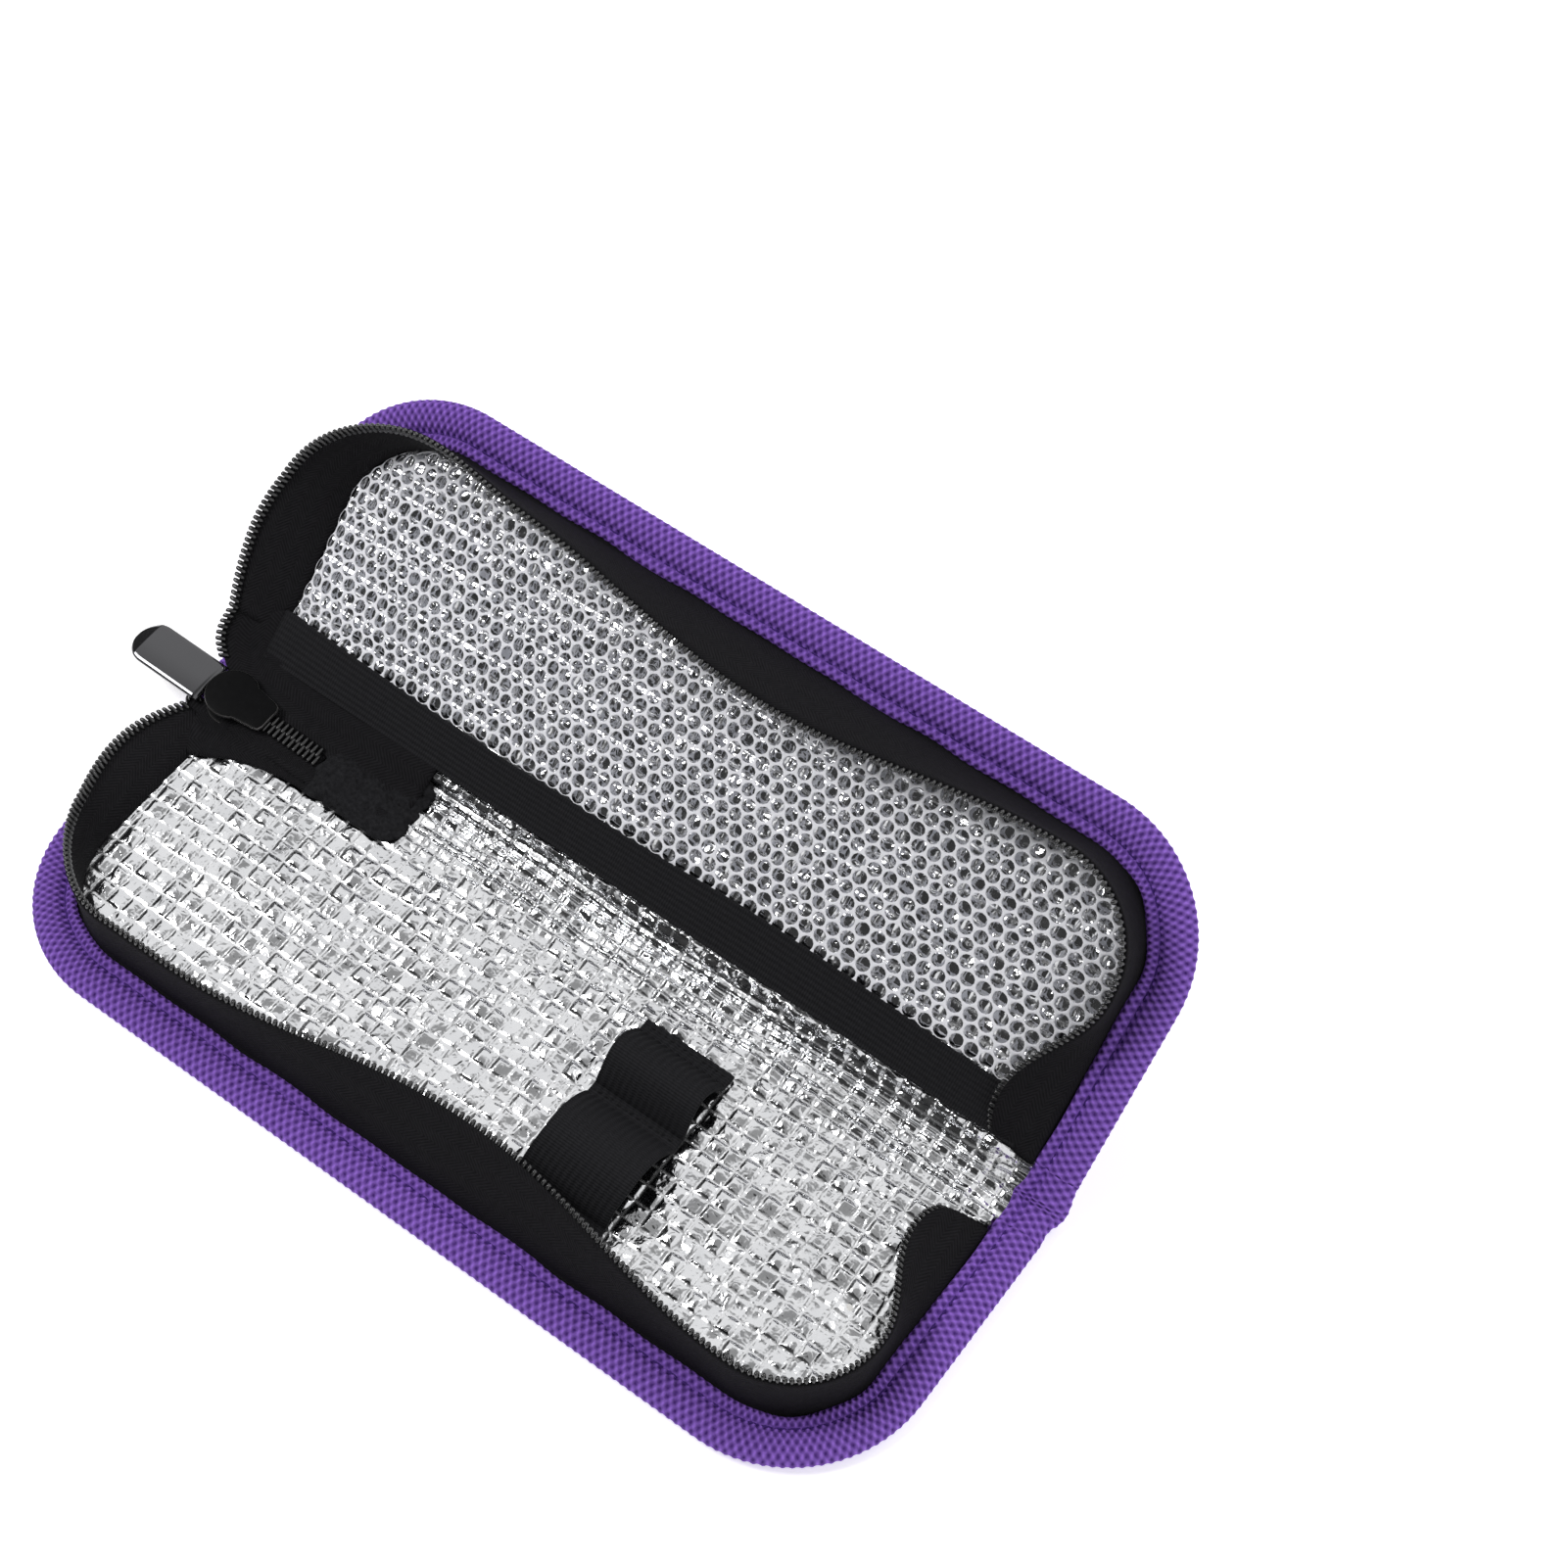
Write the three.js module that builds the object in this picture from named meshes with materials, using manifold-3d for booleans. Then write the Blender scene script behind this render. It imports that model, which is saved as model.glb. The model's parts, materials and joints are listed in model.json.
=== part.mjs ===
// Soft folding cooling case for insulin pens, shown open with its lid half raised.
// Millimetres, +Z up. The origin is the centre of the base's underside, +X runs along the case
// and +Y points from the base to the fold. Each half is drawn flat in fold coordinates: x along
// the case, v the distance from the fold line, and z up from the outer face to the lining.
import * as THREE from 'three';
import { mergeVertices } from 'three/addons/utils/BufferGeometryUtils.js';
import Module from 'manifold-3d';

const wasm = await Module();
wasm.setup();

// Overall sizes of one half
const LENGTH = 200;
const PANEL_DEPTH = 69;
const CORNER_RADIUS = 28;
const HALF_THICKNESS = 18;
const GAP = 0.3;

// The fold: its axis lies above the lining, and the lid stands at this angle to the table
const HINGE_HEIGHT = 7;
const LID_TILT = THREE.MathUtils.degToRad(38.8);
const SPINE_LID_WIDTH = 5;
const FOLD_STEPS = 5;
const BASE_START = GAP;
const LID_START = SPINE_LID_WIDTH + GAP;

// Layers of a panel, from the outer face to the lining
const COVER_THICKNESS = 1.7;
const COVER_RIM = 0.6;
const FOAM_THICKNESS = 1.7;
const FOIL_THICKNESS = 0.4;
const FOAM_BOTTOM = COVER_THICKNESS + GAP;
const FOIL_BOTTOM = FOAM_BOTTOM + FOAM_THICKNESS + GAP;
const LINING_TOP = FOIL_BOTTOM + FOIL_THICKNESS;

// Edge binding, a folded tape of C section
const BINDING_WIDTH = 8.5;
const BINDING_HEIGHT = 3.9;
const BINDING_TAPE = 0.8;
const BINDING_EASE = 0.9;
const CORNER_STEPS = 8;

// Zip tape wall that stands on the panel inside the binding
const WALL_INSET = BINDING_WIDTH + 0.5;
const WALL_TAPE = 0.6;
const WALL_FOOT = 7;
const WALL_FOOT_HEIGHT = COVER_THICKNESS + GAP + WALL_TAPE / 2;
const WALL_KNEE = LINING_TOP + 0.7;
const WALL_LEFT_END = 11;
const WALL_RIGHT_END = 8;
const RIGHT_DIP = 8;
const COIL_WIDTH = 2;
const COIL_THICKNESS = 1.3;
const COIL_PROUD = 0.8;
const COIL_FLARED = 2;
const COIL_FLARE_REACH = 3.5;
const LINING_INSET = WALL_INSET + 1.6;

// How far the soft wall leans: in along the front, out at the left end, in at the right end
const BASE_FRONT_LEAN = 9;
const LID_FRONT_LEAN = 7;
const FRONT_LEAN_CENTRE = 0.04 * LENGTH;
const FRONT_LEAN_SPAN = 0.32 * LENGTH;
const LEFT_FLARE = 7.4;
const LEFT_FLARE_CENTRE = 24;
const LEFT_FLARE_SPAN = 26;
const RIGHT_TUCK = 9;
const RIGHT_TUCK_CENTRE = 17;
const RIGHT_TUCK_SPAN = 22;

// Elastic band sewn down in three places to hold two pens
const PEN_BAND_CENTRE = LENGTH / 2 - 72.5;
const PEN_BAND_WIDTH = 20;
const PEN_BAND_THICKNESS = 1;
const PEN_BAND_BACK = 11.5;
const PEN_SEAM = 3;
const BACK_LOOP_SPAN = 12.5;
const BACK_LOOP_HEIGHT = 5.3;
const FRONT_LOOP_SPAN = 19;
const FRONT_LOOP_HEIGHT = 5.7;
const PEN_LOOPS = [
  { span: BACK_LOOP_SPAN, height: BACK_LOOP_HEIGHT },
  { span: FRONT_LOOP_SPAN, height: FRONT_LOOP_HEIGHT },
];
const PEN_LOOP_STEPS = 10;

// Net pocket on the lid with its elastic mouth band
const POCKET_BAND_START = 5.6;
const POCKET_BAND_DEPTH = 10;
const POCKET_BAND_THICKNESS = 0.8;
const POCKET_BAND_LEFT = LENGTH / 2 - 12;
const POCKET_BAND_RIGHT = LENGTH / 2 - 18;
const NET_MARGIN = 3;
const NET_INSET = WALL_INSET + NET_MARGIN;
const NET_THICKNESS = 0.5;
const NET_LIFT = 0.5;
const NET_PITCH = 6;
const NET_STRAND = 1;
const NET_HEM = 1.6;

// Zip slider at the left end, with the closed chain behind it and the sewn end patch
const SLIDER_X = 12 - LENGTH / 2;
const SLIDER_V = 5;
const SLIDER_HEIGHT = 7.6;
const SLIDER_TILT = THREE.MathUtils.degToRad(3);
const SLIDER_LENGTH = 15;
const SLIDER_HEAD_RADIUS = 5.4;
const SLIDER_SHOULDER = THREE.MathUtils.degToRad(50);
const SLIDER_TAIL_WIDTH = 7;
const SLIDER_PLATE = 1;
const SLIDER_CHANNEL = 2.4;
const SLIDER_CORNER = 1.2;
const SLIDER_POST_LENGTH = 3;
const SLIDER_POST_WIDTH = 2.4;
const SLIDER_POST_SETBACK = 1;
const LUG_WIDTH = 2.2;
const LUG_REACH = 2.2;
const LUG_RADIUS = 2.4;
const LUG_HOLE = 1.4;
const TAB_LENGTH = 17.5;
const TAB_WIDTH = 8.4;
const TAB_THICKNESS = 1.4;
const TAB_BAR = 1.5;
const TAB_BAR_RADIUS = 1.05;
const ROUND_STEPS = 16;
const TAB_SLOT_LENGTH = 4;
const SLIDE_TRAVEL = 4;
const PATCH_LEFT = 33 - LENGTH / 2;
const PATCH_LENGTH = 22;
const PATCH_BASE_DEPTH = 9;
const PATCH_LID_DEPTH = 3;
const PATCH_THICKNESS = 1.2;
const TAIL_TAPE_WIDTH = 11;
const TAIL_TAPE = 0.5;
const TAIL_COIL_WIDTH = 4.4;

// The plane where the two halves meet when the case is shut
const PARTING_SLOPE = (HALF_THICKNESS - HINGE_HEIGHT) / (PANEL_DEPTH - WALL_INSET);
const partingHeight = (v) => HINGE_HEIGHT + PARTING_SLOPE * v;

// Shared finishes
const cloth = (color, roughness = 0.9) => new THREE.MeshStandardMaterial({ color, roughness, metalness: 0 });
const violetCover = () => cloth(0x5a3a93);
const violetBinding = () => cloth(0x4d2a80);
const whiteFoam = () => cloth(0xf1f0ec);
const silverFoil = () => new THREE.MeshStandardMaterial({ color: 0xc4c8cc, roughness: 0.35, metalness: 0.85 });
const blackTape = () => cloth(0x17171a, 0.85);
const blackCoil = () => cloth(0x0c0c0e, 0.4);
const blackElastic = () => cloth(0x1b1b1e, 0.8);
const whiteNet = () => cloth(0xf4f4f4, 0.75);
const blackMetal = () => new THREE.MeshStandardMaterial({ color: 0x08080a, roughness: 0.2, metalness: 0.6 });

// Keeps only merged positions and turns every face outwards
function closedSolid(source) {
  const bare = source.clone();
  bare.deleteAttribute('normal');
  bare.deleteAttribute('uv');
  bare.clearGroups();
  const geometry = mergeVertices(bare, 1e-4);
  const position = geometry.attributes.position;
  const order = Array.from(geometry.index.array);
  const a = new THREE.Vector3();
  const b = new THREE.Vector3();
  const c = new THREE.Vector3();
  let volume = 0;
  for (let i = 0; i < order.length; i += 3) {
    a.fromBufferAttribute(position, order[i]);
    b.fromBufferAttribute(position, order[i + 1]);
    c.fromBufferAttribute(position, order[i + 2]);
    volume += a.dot(b.cross(c));
  }
  if (volume < 0) order.reverse();
  geometry.setIndex(order);
  return geometry;
}

function toManifold(geometry) {
  const solid = closedSolid(geometry);
  return new wasm.Manifold(new wasm.Mesh({
    numProp: 3,
    vertProperties: new Float32Array(solid.attributes.position.array),
    triVerts: new Uint32Array(solid.index.array),
  }));
}

function fromManifold(solid) {
  const mesh = solid.getMesh();
  const geometry = new THREE.BufferGeometry();
  geometry.setAttribute('position', new THREE.BufferAttribute(new Float32Array(mesh.vertProperties), 3));
  geometry.setIndex(Array.from(mesh.triVerts));
  return geometry;
}

function joined(...geometries) {
  return fromManifold(geometries.map(toManifold).reduce((whole, next) => whole.add(next)));
}

// Skins a row of matching rings and closes both ends with the section's own triangles
function loft(rings, section) {
  const count = section.length;
  const geometry = new THREE.BufferGeometry();
  const index = [];
  for (let ring = 0; ring + 1 < rings.length; ring += 1) {
    for (let side = 0; side < count; side += 1) {
      const next = (side + 1) % count;
      const near = ring * count;
      const far = near + count;
      index.push(near + side, near + next, far + next, near + side, far + next, far + side);
    }
  }
  const last = (rings.length - 1) * count;
  const clockwise = THREE.ShapeUtils.isClockWise(section);
  for (const [p, q, r] of THREE.ShapeUtils.triangulateShape(section, [])) {
    const cap = clockwise ? [p, q, r] : [p, r, q];
    index.push(...cap);
    index.push(last + cap[0], last + cap[2], last + cap[1]);
  }
  geometry.setFromPoints(rings.flat());
  geometry.setIndex(index);
  return closedSolid(geometry);
}

// Outline of a strip of cloth that follows a line of points in a section plane
function stripSection(points, thickness) {
  const half = thickness / 2;
  const near = [];
  const far = [];
  points.forEach((point, i) => {
    const before = points[Math.max(i - 1, 0)];
    const after = points[Math.min(i + 1, points.length - 1)];
    const into = point.clone().sub(before);
    const out = after.clone().sub(point);
    if (into.length() === 0) into.copy(out);
    if (out.length() === 0) out.copy(into);
    into.normalize();
    out.normalize();
    const normal = new THREE.Vector2(-into.y - out.y, into.x + out.x).normalize();
    const reach = half / normal.dot(new THREE.Vector2(-into.y, into.x));
    near.push(point.clone().addScaledVector(normal, reach));
    far.unshift(point.clone().addScaledVector(normal, -reach));
  });
  return [...near, ...far];
}

// Filled outline of one half at an inset from its edge, open to the fold at v = start
function halfShape(inset, start) {
  const halfLength = LENGTH / 2 - inset;
  const depth = PANEL_DEPTH - inset;
  const radius = CORNER_RADIUS - inset;
  const shape = new THREE.Shape();
  shape.moveTo(-halfLength, start);
  shape.lineTo(halfLength, start);
  shape.lineTo(halfLength, depth - radius);
  shape.absarc(halfLength - radius, depth - radius, radius, 0, Math.PI / 2);
  shape.lineTo(radius - halfLength, depth);
  shape.absarc(radius - halfLength, depth - radius, radius, Math.PI / 2, Math.PI);
  return shape;
}

function plate(shape, bottom, thickness, curveSegments = CORNER_STEPS / 2) {
  const settings = { depth: thickness, bevelEnabled: false, curveSegments };
  return new THREE.ExtrudeGeometry(shape, settings).translate(0, 0, bottom);
}

// Stations round the three sewn sides, from the fold at the left to the fold at the right
function edgeStations(leftStart, rightStart, endSteps, frontSteps) {
  const cornerX = LENGTH / 2 - CORNER_RADIUS;
  const cornerV = PANEL_DEPTH - CORNER_RADIUS;
  const stations = [];
  for (let i = 0; i < endSteps; i += 1) {
    const v = THREE.MathUtils.lerp(leftStart, cornerV, i / endSteps);
    stations.push({ x: -LENGTH / 2, v, nx: -1, nv: 0 });
  }
  const corner = (side, from) => {
    for (let i = 0; i < CORNER_STEPS; i += 1) {
      const angle = from - (i / CORNER_STEPS) * (Math.PI / 2);
      const nx = Math.cos(angle);
      const nv = Math.sin(angle);
      stations.push({ x: side * cornerX + CORNER_RADIUS * nx, v: cornerV + CORNER_RADIUS * nv, nx, nv });
    }
  };
  corner(-1, Math.PI);
  for (let i = 0; i < frontSteps; i += 1) {
    stations.push({ x: THREE.MathUtils.lerp(-cornerX, cornerX, i / frontSteps), v: PANEL_DEPTH, nx: 0, nv: 1 });
  }
  corner(1, Math.PI / 2);
  for (let i = 0; i <= endSteps; i += 1) {
    const v = THREE.MathUtils.lerp(cornerV, rightStart, i / endSteps);
    stations.push({ x: LENGTH / 2, v, nx: 1, nv: 0 });
  }
  return stations;
}

// Places a section point, given as a distance out from an inset line and a height
function atStation(station, inset, point) {
  const reach = point.x - inset;
  return new THREE.Vector3(station.x + station.nx * reach, station.v + station.nv * reach, point.y);
}

// C section of the binding: x is measured inwards from the edge as a negative reach
function bindingSection() {
  const top = BINDING_HEIGHT;
  const tape = BINDING_TAPE;
  const width = BINDING_WIDTH;
  const ease = BINDING_EASE;
  return [
    [-ease, 0], [-width, 0], [-width, tape], [-ease, tape], [-tape, ease], [-tape, top - ease],
    [-ease, top - tape], [-width, top - tape], [-width, top], [-ease, top], [0, top - ease], [0, ease],
  ].map(([x, y]) => new THREE.Vector2(x, y));
}

function bindingGeometry(start) {
  const section = bindingSection();
  const stations = edgeStations(start, start, 1, 1);
  const rings = stations.map((station) => section.map((point) => atStation(station, 0, point)));
  return loft(rings, section);
}

const bump = (distance) => (Math.abs(distance) < 1 ? Math.cos((distance * Math.PI) / 2) ** 2 : 0);

// Outward lean of the wall's top edge; negative leans over the case
function wallLean(x, v, frontLean) {
  const onFront = v > PANEL_DEPTH - CORNER_RADIUS && Math.abs(x) <= LENGTH / 2 - CORNER_RADIUS;
  if (onFront) return -frontLean * bump((x - FRONT_LEAN_CENTRE) / FRONT_LEAN_SPAN);
  if (x < 0) return LEFT_FLARE * bump((v - LEFT_FLARE_CENTRE) / LEFT_FLARE_SPAN);
  return -RIGHT_TUCK * bump((v - RIGHT_TUCK_CENTRE) / RIGHT_TUCK_SPAN);
}

// Line of the wall in section: foot under the binding, knee above the lining, leaning top.
// Its coil stays under the parting plane, and where the wall flares the coil stands higher on it
function wallLine(station, frontLean) {
  const inner = { x: station.x - station.nx * WALL_INSET, v: station.v - station.nv * WALL_INSET };
  const lean = wallLean(inner.x, inner.v, frontLean);
  const flared = Math.min(Math.max(lean, 0) / COIL_FLARE_REACH, 1);
  const proud = THREE.MathUtils.lerp(COIL_PROUD, COIL_FLARED, flared);
  const full = partingHeight(inner.v + station.nv * lean) - GAP - proud;
  const rise = THREE.MathUtils.smoothstep(inner.v, WALL_RIGHT_END, WALL_RIGHT_END + RIGHT_DIP);
  const low = WALL_KNEE + COIL_WIDTH;
  const top = inner.x > 0 ? THREE.MathUtils.lerp(Math.min(low, full), full, rise) : full;
  const heel = -WALL_TAPE / 2;
  return [
    new THREE.Vector2(WALL_FOOT, WALL_FOOT_HEIGHT),
    new THREE.Vector2(heel, WALL_FOOT_HEIGHT),
    new THREE.Vector2(heel, WALL_KNEE),
    new THREE.Vector2(heel + lean, top),
  ];
}

// Coil rail on the inner face of the wall's free edge
function coilSection(line) {
  const edge = line[3];
  const up = edge.clone().sub(line[2]).normalize();
  const inward = new THREE.Vector2(-up.y, up.x);
  const corner = (along, across) => edge.clone().addScaledVector(up, along).addScaledVector(inward, across);
  const near = WALL_TAPE / 2 + GAP;
  const far = near + COIL_THICKNESS;
  const low = COIL_PROUD - COIL_WIDTH;
  return [corner(COIL_PROUD - near, near), corner(low, near), corner(low, far), corner(COIL_PROUD - near, far)];
}

function wallStations() {
  return edgeStations(WALL_LEFT_END, WALL_RIGHT_END, 9, 15);
}

function wallGeometry(frontLean, sectionOf) {
  const stations = wallStations();
  const sections = stations.map((station) => sectionOf(wallLine(station, frontLean)));
  const rings = stations.map((station, i) => sections[i].map((p) => atStation(station, WALL_INSET, p)));
  return loft(rings, sections[0]);
}

function coverGeometry(start) {
  const face = plate(halfShape(BINDING_WIDTH + GAP, start), 0, COVER_THICKNESS);
  const rim = plate(halfShape(BINDING_TAPE + GAP, start), COVER_THICKNESS - COVER_RIM, COVER_RIM);
  return joined(face, rim);
}

function foamGeometry(start) {
  return plate(halfShape(LINING_INSET, start), FOAM_BOTTOM, FOAM_THICKNESS);
}

function foilGeometry(start) {
  return plate(halfShape(LINING_INSET, start), FOIL_BOTTOM, FOIL_THICKNESS);
}

// Elastic band that runs from the fold towards the front over two loops
function penBandGeometry() {
  const flat = LINING_TOP + GAP + PEN_BAND_THICKNESS / 2;
  const line = [new THREE.Vector2(PEN_BAND_BACK, flat)];
  let v = PEN_BAND_BACK + PEN_SEAM;
  for (const { span, height } of PEN_LOOPS) {
    for (let i = 0; i <= PEN_LOOP_STEPS; i += 1) {
      const share = i / PEN_LOOP_STEPS;
      line.push(new THREE.Vector2(v + span * share, flat + height * Math.sin(Math.PI * share)));
    }
    v += span + PEN_SEAM;
  }
  line.push(new THREE.Vector2(v, flat));
  const section = stripSection(line, PEN_BAND_THICKNESS);
  const edges = [PEN_BAND_CENTRE - PEN_BAND_WIDTH / 2, PEN_BAND_CENTRE + PEN_BAND_WIDTH / 2];
  return loft(edges.map((x) => section.map((p) => new THREE.Vector3(x, p.x, p.y))), section);
}

function pocketBandGeometry() {
  const shape = new THREE.Shape();
  const end = POCKET_BAND_START + POCKET_BAND_DEPTH;
  shape.moveTo(-POCKET_BAND_LEFT, POCKET_BAND_START);
  shape.lineTo(POCKET_BAND_RIGHT, POCKET_BAND_START);
  shape.lineTo(POCKET_BAND_RIGHT, end);
  shape.lineTo(-POCKET_BAND_LEFT, end);
  return plate(shape, LINING_TOP + GAP, POCKET_BAND_THICKNESS);
}

// True where a point lies inside one half's outline at the given inset
function insideHalf(x, v, inset, start) {
  const cornerX = LENGTH / 2 - CORNER_RADIUS;
  const cornerV = PANEL_DEPTH - CORNER_RADIUS;
  const pastX = Math.max(Math.abs(x) - cornerX, 0);
  const pastV = Math.max(v - cornerV, 0);
  return v > start && Math.hypot(pastX, pastV) < CORNER_RADIUS - inset;
}

// Flat net with six-sided gaps in offset rows inside a plain hem
function netGeometry() {
  const start = POCKET_BAND_START + POCKET_BAND_DEPTH + GAP;
  const shape = halfShape(NET_INSET, start);
  const radius = (NET_PITCH - NET_STRAND) / Math.sqrt(3);
  const rowPitch = (NET_PITCH * Math.sqrt(3)) / 2;
  const corners = [30, 90, 150, 210, 270, 330].map(THREE.MathUtils.degToRad);
  const rows = Math.ceil(PANEL_DEPTH / rowPitch);
  const columns = Math.ceil(LENGTH / NET_PITCH);
  for (let row = 0; row < rows; row += 1) {
    for (let column = -columns; column <= columns; column += 1) {
      const x = NET_PITCH * (column + (row % 2) / 2);
      const v = start + NET_HEM + radius + row * rowPitch;
      const points = corners.map((a) => new THREE.Vector2(x + radius * Math.cos(a), v + radius * Math.sin(a)));
      const fits = points.every((p) => insideHalf(p.x, p.y, NET_INSET + NET_HEM, start));
      if (fits) shape.holes.push(new THREE.Path(points));
    }
  }
  return plate(shape, LINING_TOP + NET_LIFT, NET_THICKNESS);
}

// Sweeps an x-z section over the fold, from v = backDepth on the base to v = lidDepth on the lid
function foldSweep(section, backDepth, lidDepth) {
  const stations = backDepth > 0 ? [{ turn: 0, y: -backDepth }] : [];
  for (let i = 0; i <= FOLD_STEPS; i += 1) stations.push({ turn: (LID_TILT * i) / FOLD_STEPS, y: 0 });
  stations.push({ turn: LID_TILT, y: lidDepth });
  const rings = stations.map(({ turn, y }) => section.map((point) => {
    const drop = point.y - HINGE_HEIGHT;
    const across = y * Math.cos(turn) - drop * Math.sin(turn);
    const height = HINGE_HEIGHT + y * Math.sin(turn) + drop * Math.cos(turn);
    return new THREE.Vector3(point.x, across, height);
  }));
  return loft(rings, section);
}

function layerSection(halfLength, bottom, thickness) {
  const corners = [[-1, 0], [1, 0], [1, 1], [-1, 1]];
  return corners.map(([side, up]) => new THREE.Vector2(side * halfLength, bottom + up * thickness));
}

function spineLayer(inset, bottom, thickness) {
  const section = layerSection(LENGTH / 2 - inset, bottom, thickness);
  return foldSweep(section, 0, SPINE_LID_WIDTH);
}

function spineBinding(side) {
  const section = bindingSection().map((p) => new THREE.Vector2(side * (LENGTH / 2 + p.x), p.y));
  return foldSweep(section, 0, SPINE_LID_WIDTH);
}

function patchGeometry() {
  const section = layerSection(PATCH_LENGTH / 2, LINING_TOP + GAP, PATCH_THICKNESS);
  const shifted = section.map((p) => new THREE.Vector2(p.x + PATCH_LEFT + PATCH_LENGTH / 2, p.y));
  return foldSweep(shifted, PATCH_BASE_DEPTH, PATCH_LID_DEPTH);
}

// Bottle outline of a slider plate, with a round head at the mouth and a narrow tail
function sliderOutline() {
  const head = SLIDER_HEAD_RADIUS - SLIDER_LENGTH / 2;
  const tail = SLIDER_LENGTH / 2;
  const slim = SLIDER_TAIL_WIDTH / 2;
  const shoulderX = head + SLIDER_HEAD_RADIUS * Math.cos(SLIDER_SHOULDER);
  const shoulderY = SLIDER_HEAD_RADIUS * Math.sin(SLIDER_SHOULDER);
  const waist = (shoulderX + tail) / 2;
  const shape = new THREE.Shape();
  shape.moveTo(tail, SLIDER_CORNER - slim);
  shape.lineTo(tail, slim - SLIDER_CORNER);
  shape.quadraticCurveTo(tail, slim, tail - SLIDER_CORNER, slim);
  shape.quadraticCurveTo(waist, slim, shoulderX, shoulderY);
  shape.absarc(head, 0, SLIDER_HEAD_RADIUS, SLIDER_SHOULDER, 2 * Math.PI - SLIDER_SHOULDER);
  shape.quadraticCurveTo(waist, -slim, tail - SLIDER_CORNER, -slim);
  shape.quadraticCurveTo(tail, -slim, tail, SLIDER_CORNER - slim);
  return shape;
}

const LUG_X = -SLIDER_LENGTH / 2 - LUG_REACH;

// Two plates on a post, with a holed lug at the mouth that the pull tab hangs on
function sliderGeometry() {
  const half = SLIDER_CHANNEL / 2;
  const overlap = SLIDER_PLATE / 2;
  const inner = plate(sliderOutline(), half, SLIDER_PLATE, ROUND_STEPS / 2);
  const outer = plate(sliderOutline(), -half - SLIDER_PLATE, SLIDER_PLATE, ROUND_STEPS / 2);
  const postHeight = SLIDER_CHANNEL + 2 * overlap;
  const post = new THREE.BoxGeometry(SLIDER_POST_LENGTH, SLIDER_POST_WIDTH, postHeight);
  post.translate(-SLIDER_LENGTH / 2 + SLIDER_POST_SETBACK + SLIDER_POST_LENGTH / 2, 0, 0);
  const root = -SLIDER_LENGTH / 2 + SLIDER_POST_SETBACK + overlap;
  const flank = half + overlap;
  const side = new THREE.Shape();
  side.moveTo(root, -flank);
  side.lineTo(root, flank);
  side.lineTo(LUG_X, LUG_RADIUS);
  side.absarc(LUG_X, 0, LUG_RADIUS, Math.PI / 2, (3 * Math.PI) / 2);
  const hole = new THREE.Path();
  hole.absarc(LUG_X, 0, LUG_HOLE, 0, 2 * Math.PI);
  side.holes.push(hole);
  const lug = plate(side, -LUG_WIDTH / 2, LUG_WIDTH, ROUND_STEPS / 2).rotateX(Math.PI / 2);
  return joined(inner, outer, post, lug);
}

// Flat pull with a slot at its root; the round bar beyond the slot passes through the lug
function tabGeometry() {
  const half = TAB_WIDTH / 2;
  const root = LUG_X + TAB_BAR / 2;
  const tip = LUG_X - TAB_LENGTH;
  const shape = new THREE.Shape();
  shape.moveTo(root, -half);
  shape.lineTo(root, half);
  shape.lineTo(tip + half, half);
  shape.absarc(tip + half, 0, half, Math.PI / 2, (3 * Math.PI) / 2);
  const slotStart = LUG_X - TAB_BAR / 2;
  const slotHalf = LUG_WIDTH / 2 + GAP;
  const slotEnd = slotStart - TAB_SLOT_LENGTH;
  const slot = [[slotStart, -slotHalf], [slotStart, slotHalf], [slotEnd, slotHalf], [slotEnd, -slotHalf]];
  shape.holes.push(new THREE.Path(slot.map(([x, y]) => new THREE.Vector2(x, y))));
  const bar = new THREE.CylinderGeometry(TAB_BAR_RADIUS, TAB_BAR_RADIUS, TAB_WIDTH, ROUND_STEPS);
  bar.translate(LUG_X, 0, 0);
  return joined(plate(shape, -TAB_THICKNESS / 2, TAB_THICKNESS, ROUND_STEPS / 2), bar);
}

// Closed chain from the slider's tail to the patch; the post stops short of it at full travel
const TAIL_START = -SLIDER_LENGTH / 2 + SLIDER_POST_SETBACK + SLIDER_POST_LENGTH + SLIDE_TRAVEL + GAP;
const TAIL_END = PATCH_LEFT - SLIDER_X - GAP;
const TAIL_TAPE_BOTTOM = -SLIDER_CHANNEL / 2 + GAP;
const TAIL_COIL_BOTTOM = TAIL_TAPE_BOTTOM + TAIL_TAPE + GAP;

function tailStrip(width, bottom, top) {
  const strip = new THREE.BoxGeometry(TAIL_END - TAIL_START, width, top - bottom);
  return strip.translate((TAIL_START + TAIL_END) / 2, 0, (bottom + top) / 2);
}

function tailTapeGeometry() {
  return tailStrip(TAIL_TAPE_WIDTH, TAIL_TAPE_BOTTOM, TAIL_TAPE_BOTTOM + TAIL_TAPE);
}

function tailCoilGeometry() {
  return tailStrip(TAIL_COIL_WIDTH, TAIL_COIL_BOTTOM, SLIDER_CHANNEL / 2 - GAP);
}

function piece(group, name, geometry, material) {
  const mesh = new THREE.Mesh(closedSolid(geometry), material);
  mesh.name = name;
  group.add(mesh);
}

// The layers and edge that both halves share
function addHalf(group, prefix, start, frontLean, drawn) {
  piece(group, `${prefix}_cover`, drawn(coverGeometry(start)), violetCover());
  piece(group, `${prefix}_foam`, drawn(foamGeometry(start)), whiteFoam());
  piece(group, `${prefix}_foil_lining`, drawn(foilGeometry(start)), silverFoil());
  piece(group, `${prefix}_binding`, drawn(bindingGeometry(start)), violetBinding());
  const tapeOf = (line) => stripSection(line, WALL_TAPE);
  piece(group, `${prefix}_zip_tape`, drawn(wallGeometry(frontLean, tapeOf)), blackTape());
  piece(group, `${prefix}_zip_coil`, drawn(wallGeometry(frontLean, coilSection)), blackCoil());
}

const coolingCase = new THREE.Group();

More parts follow.
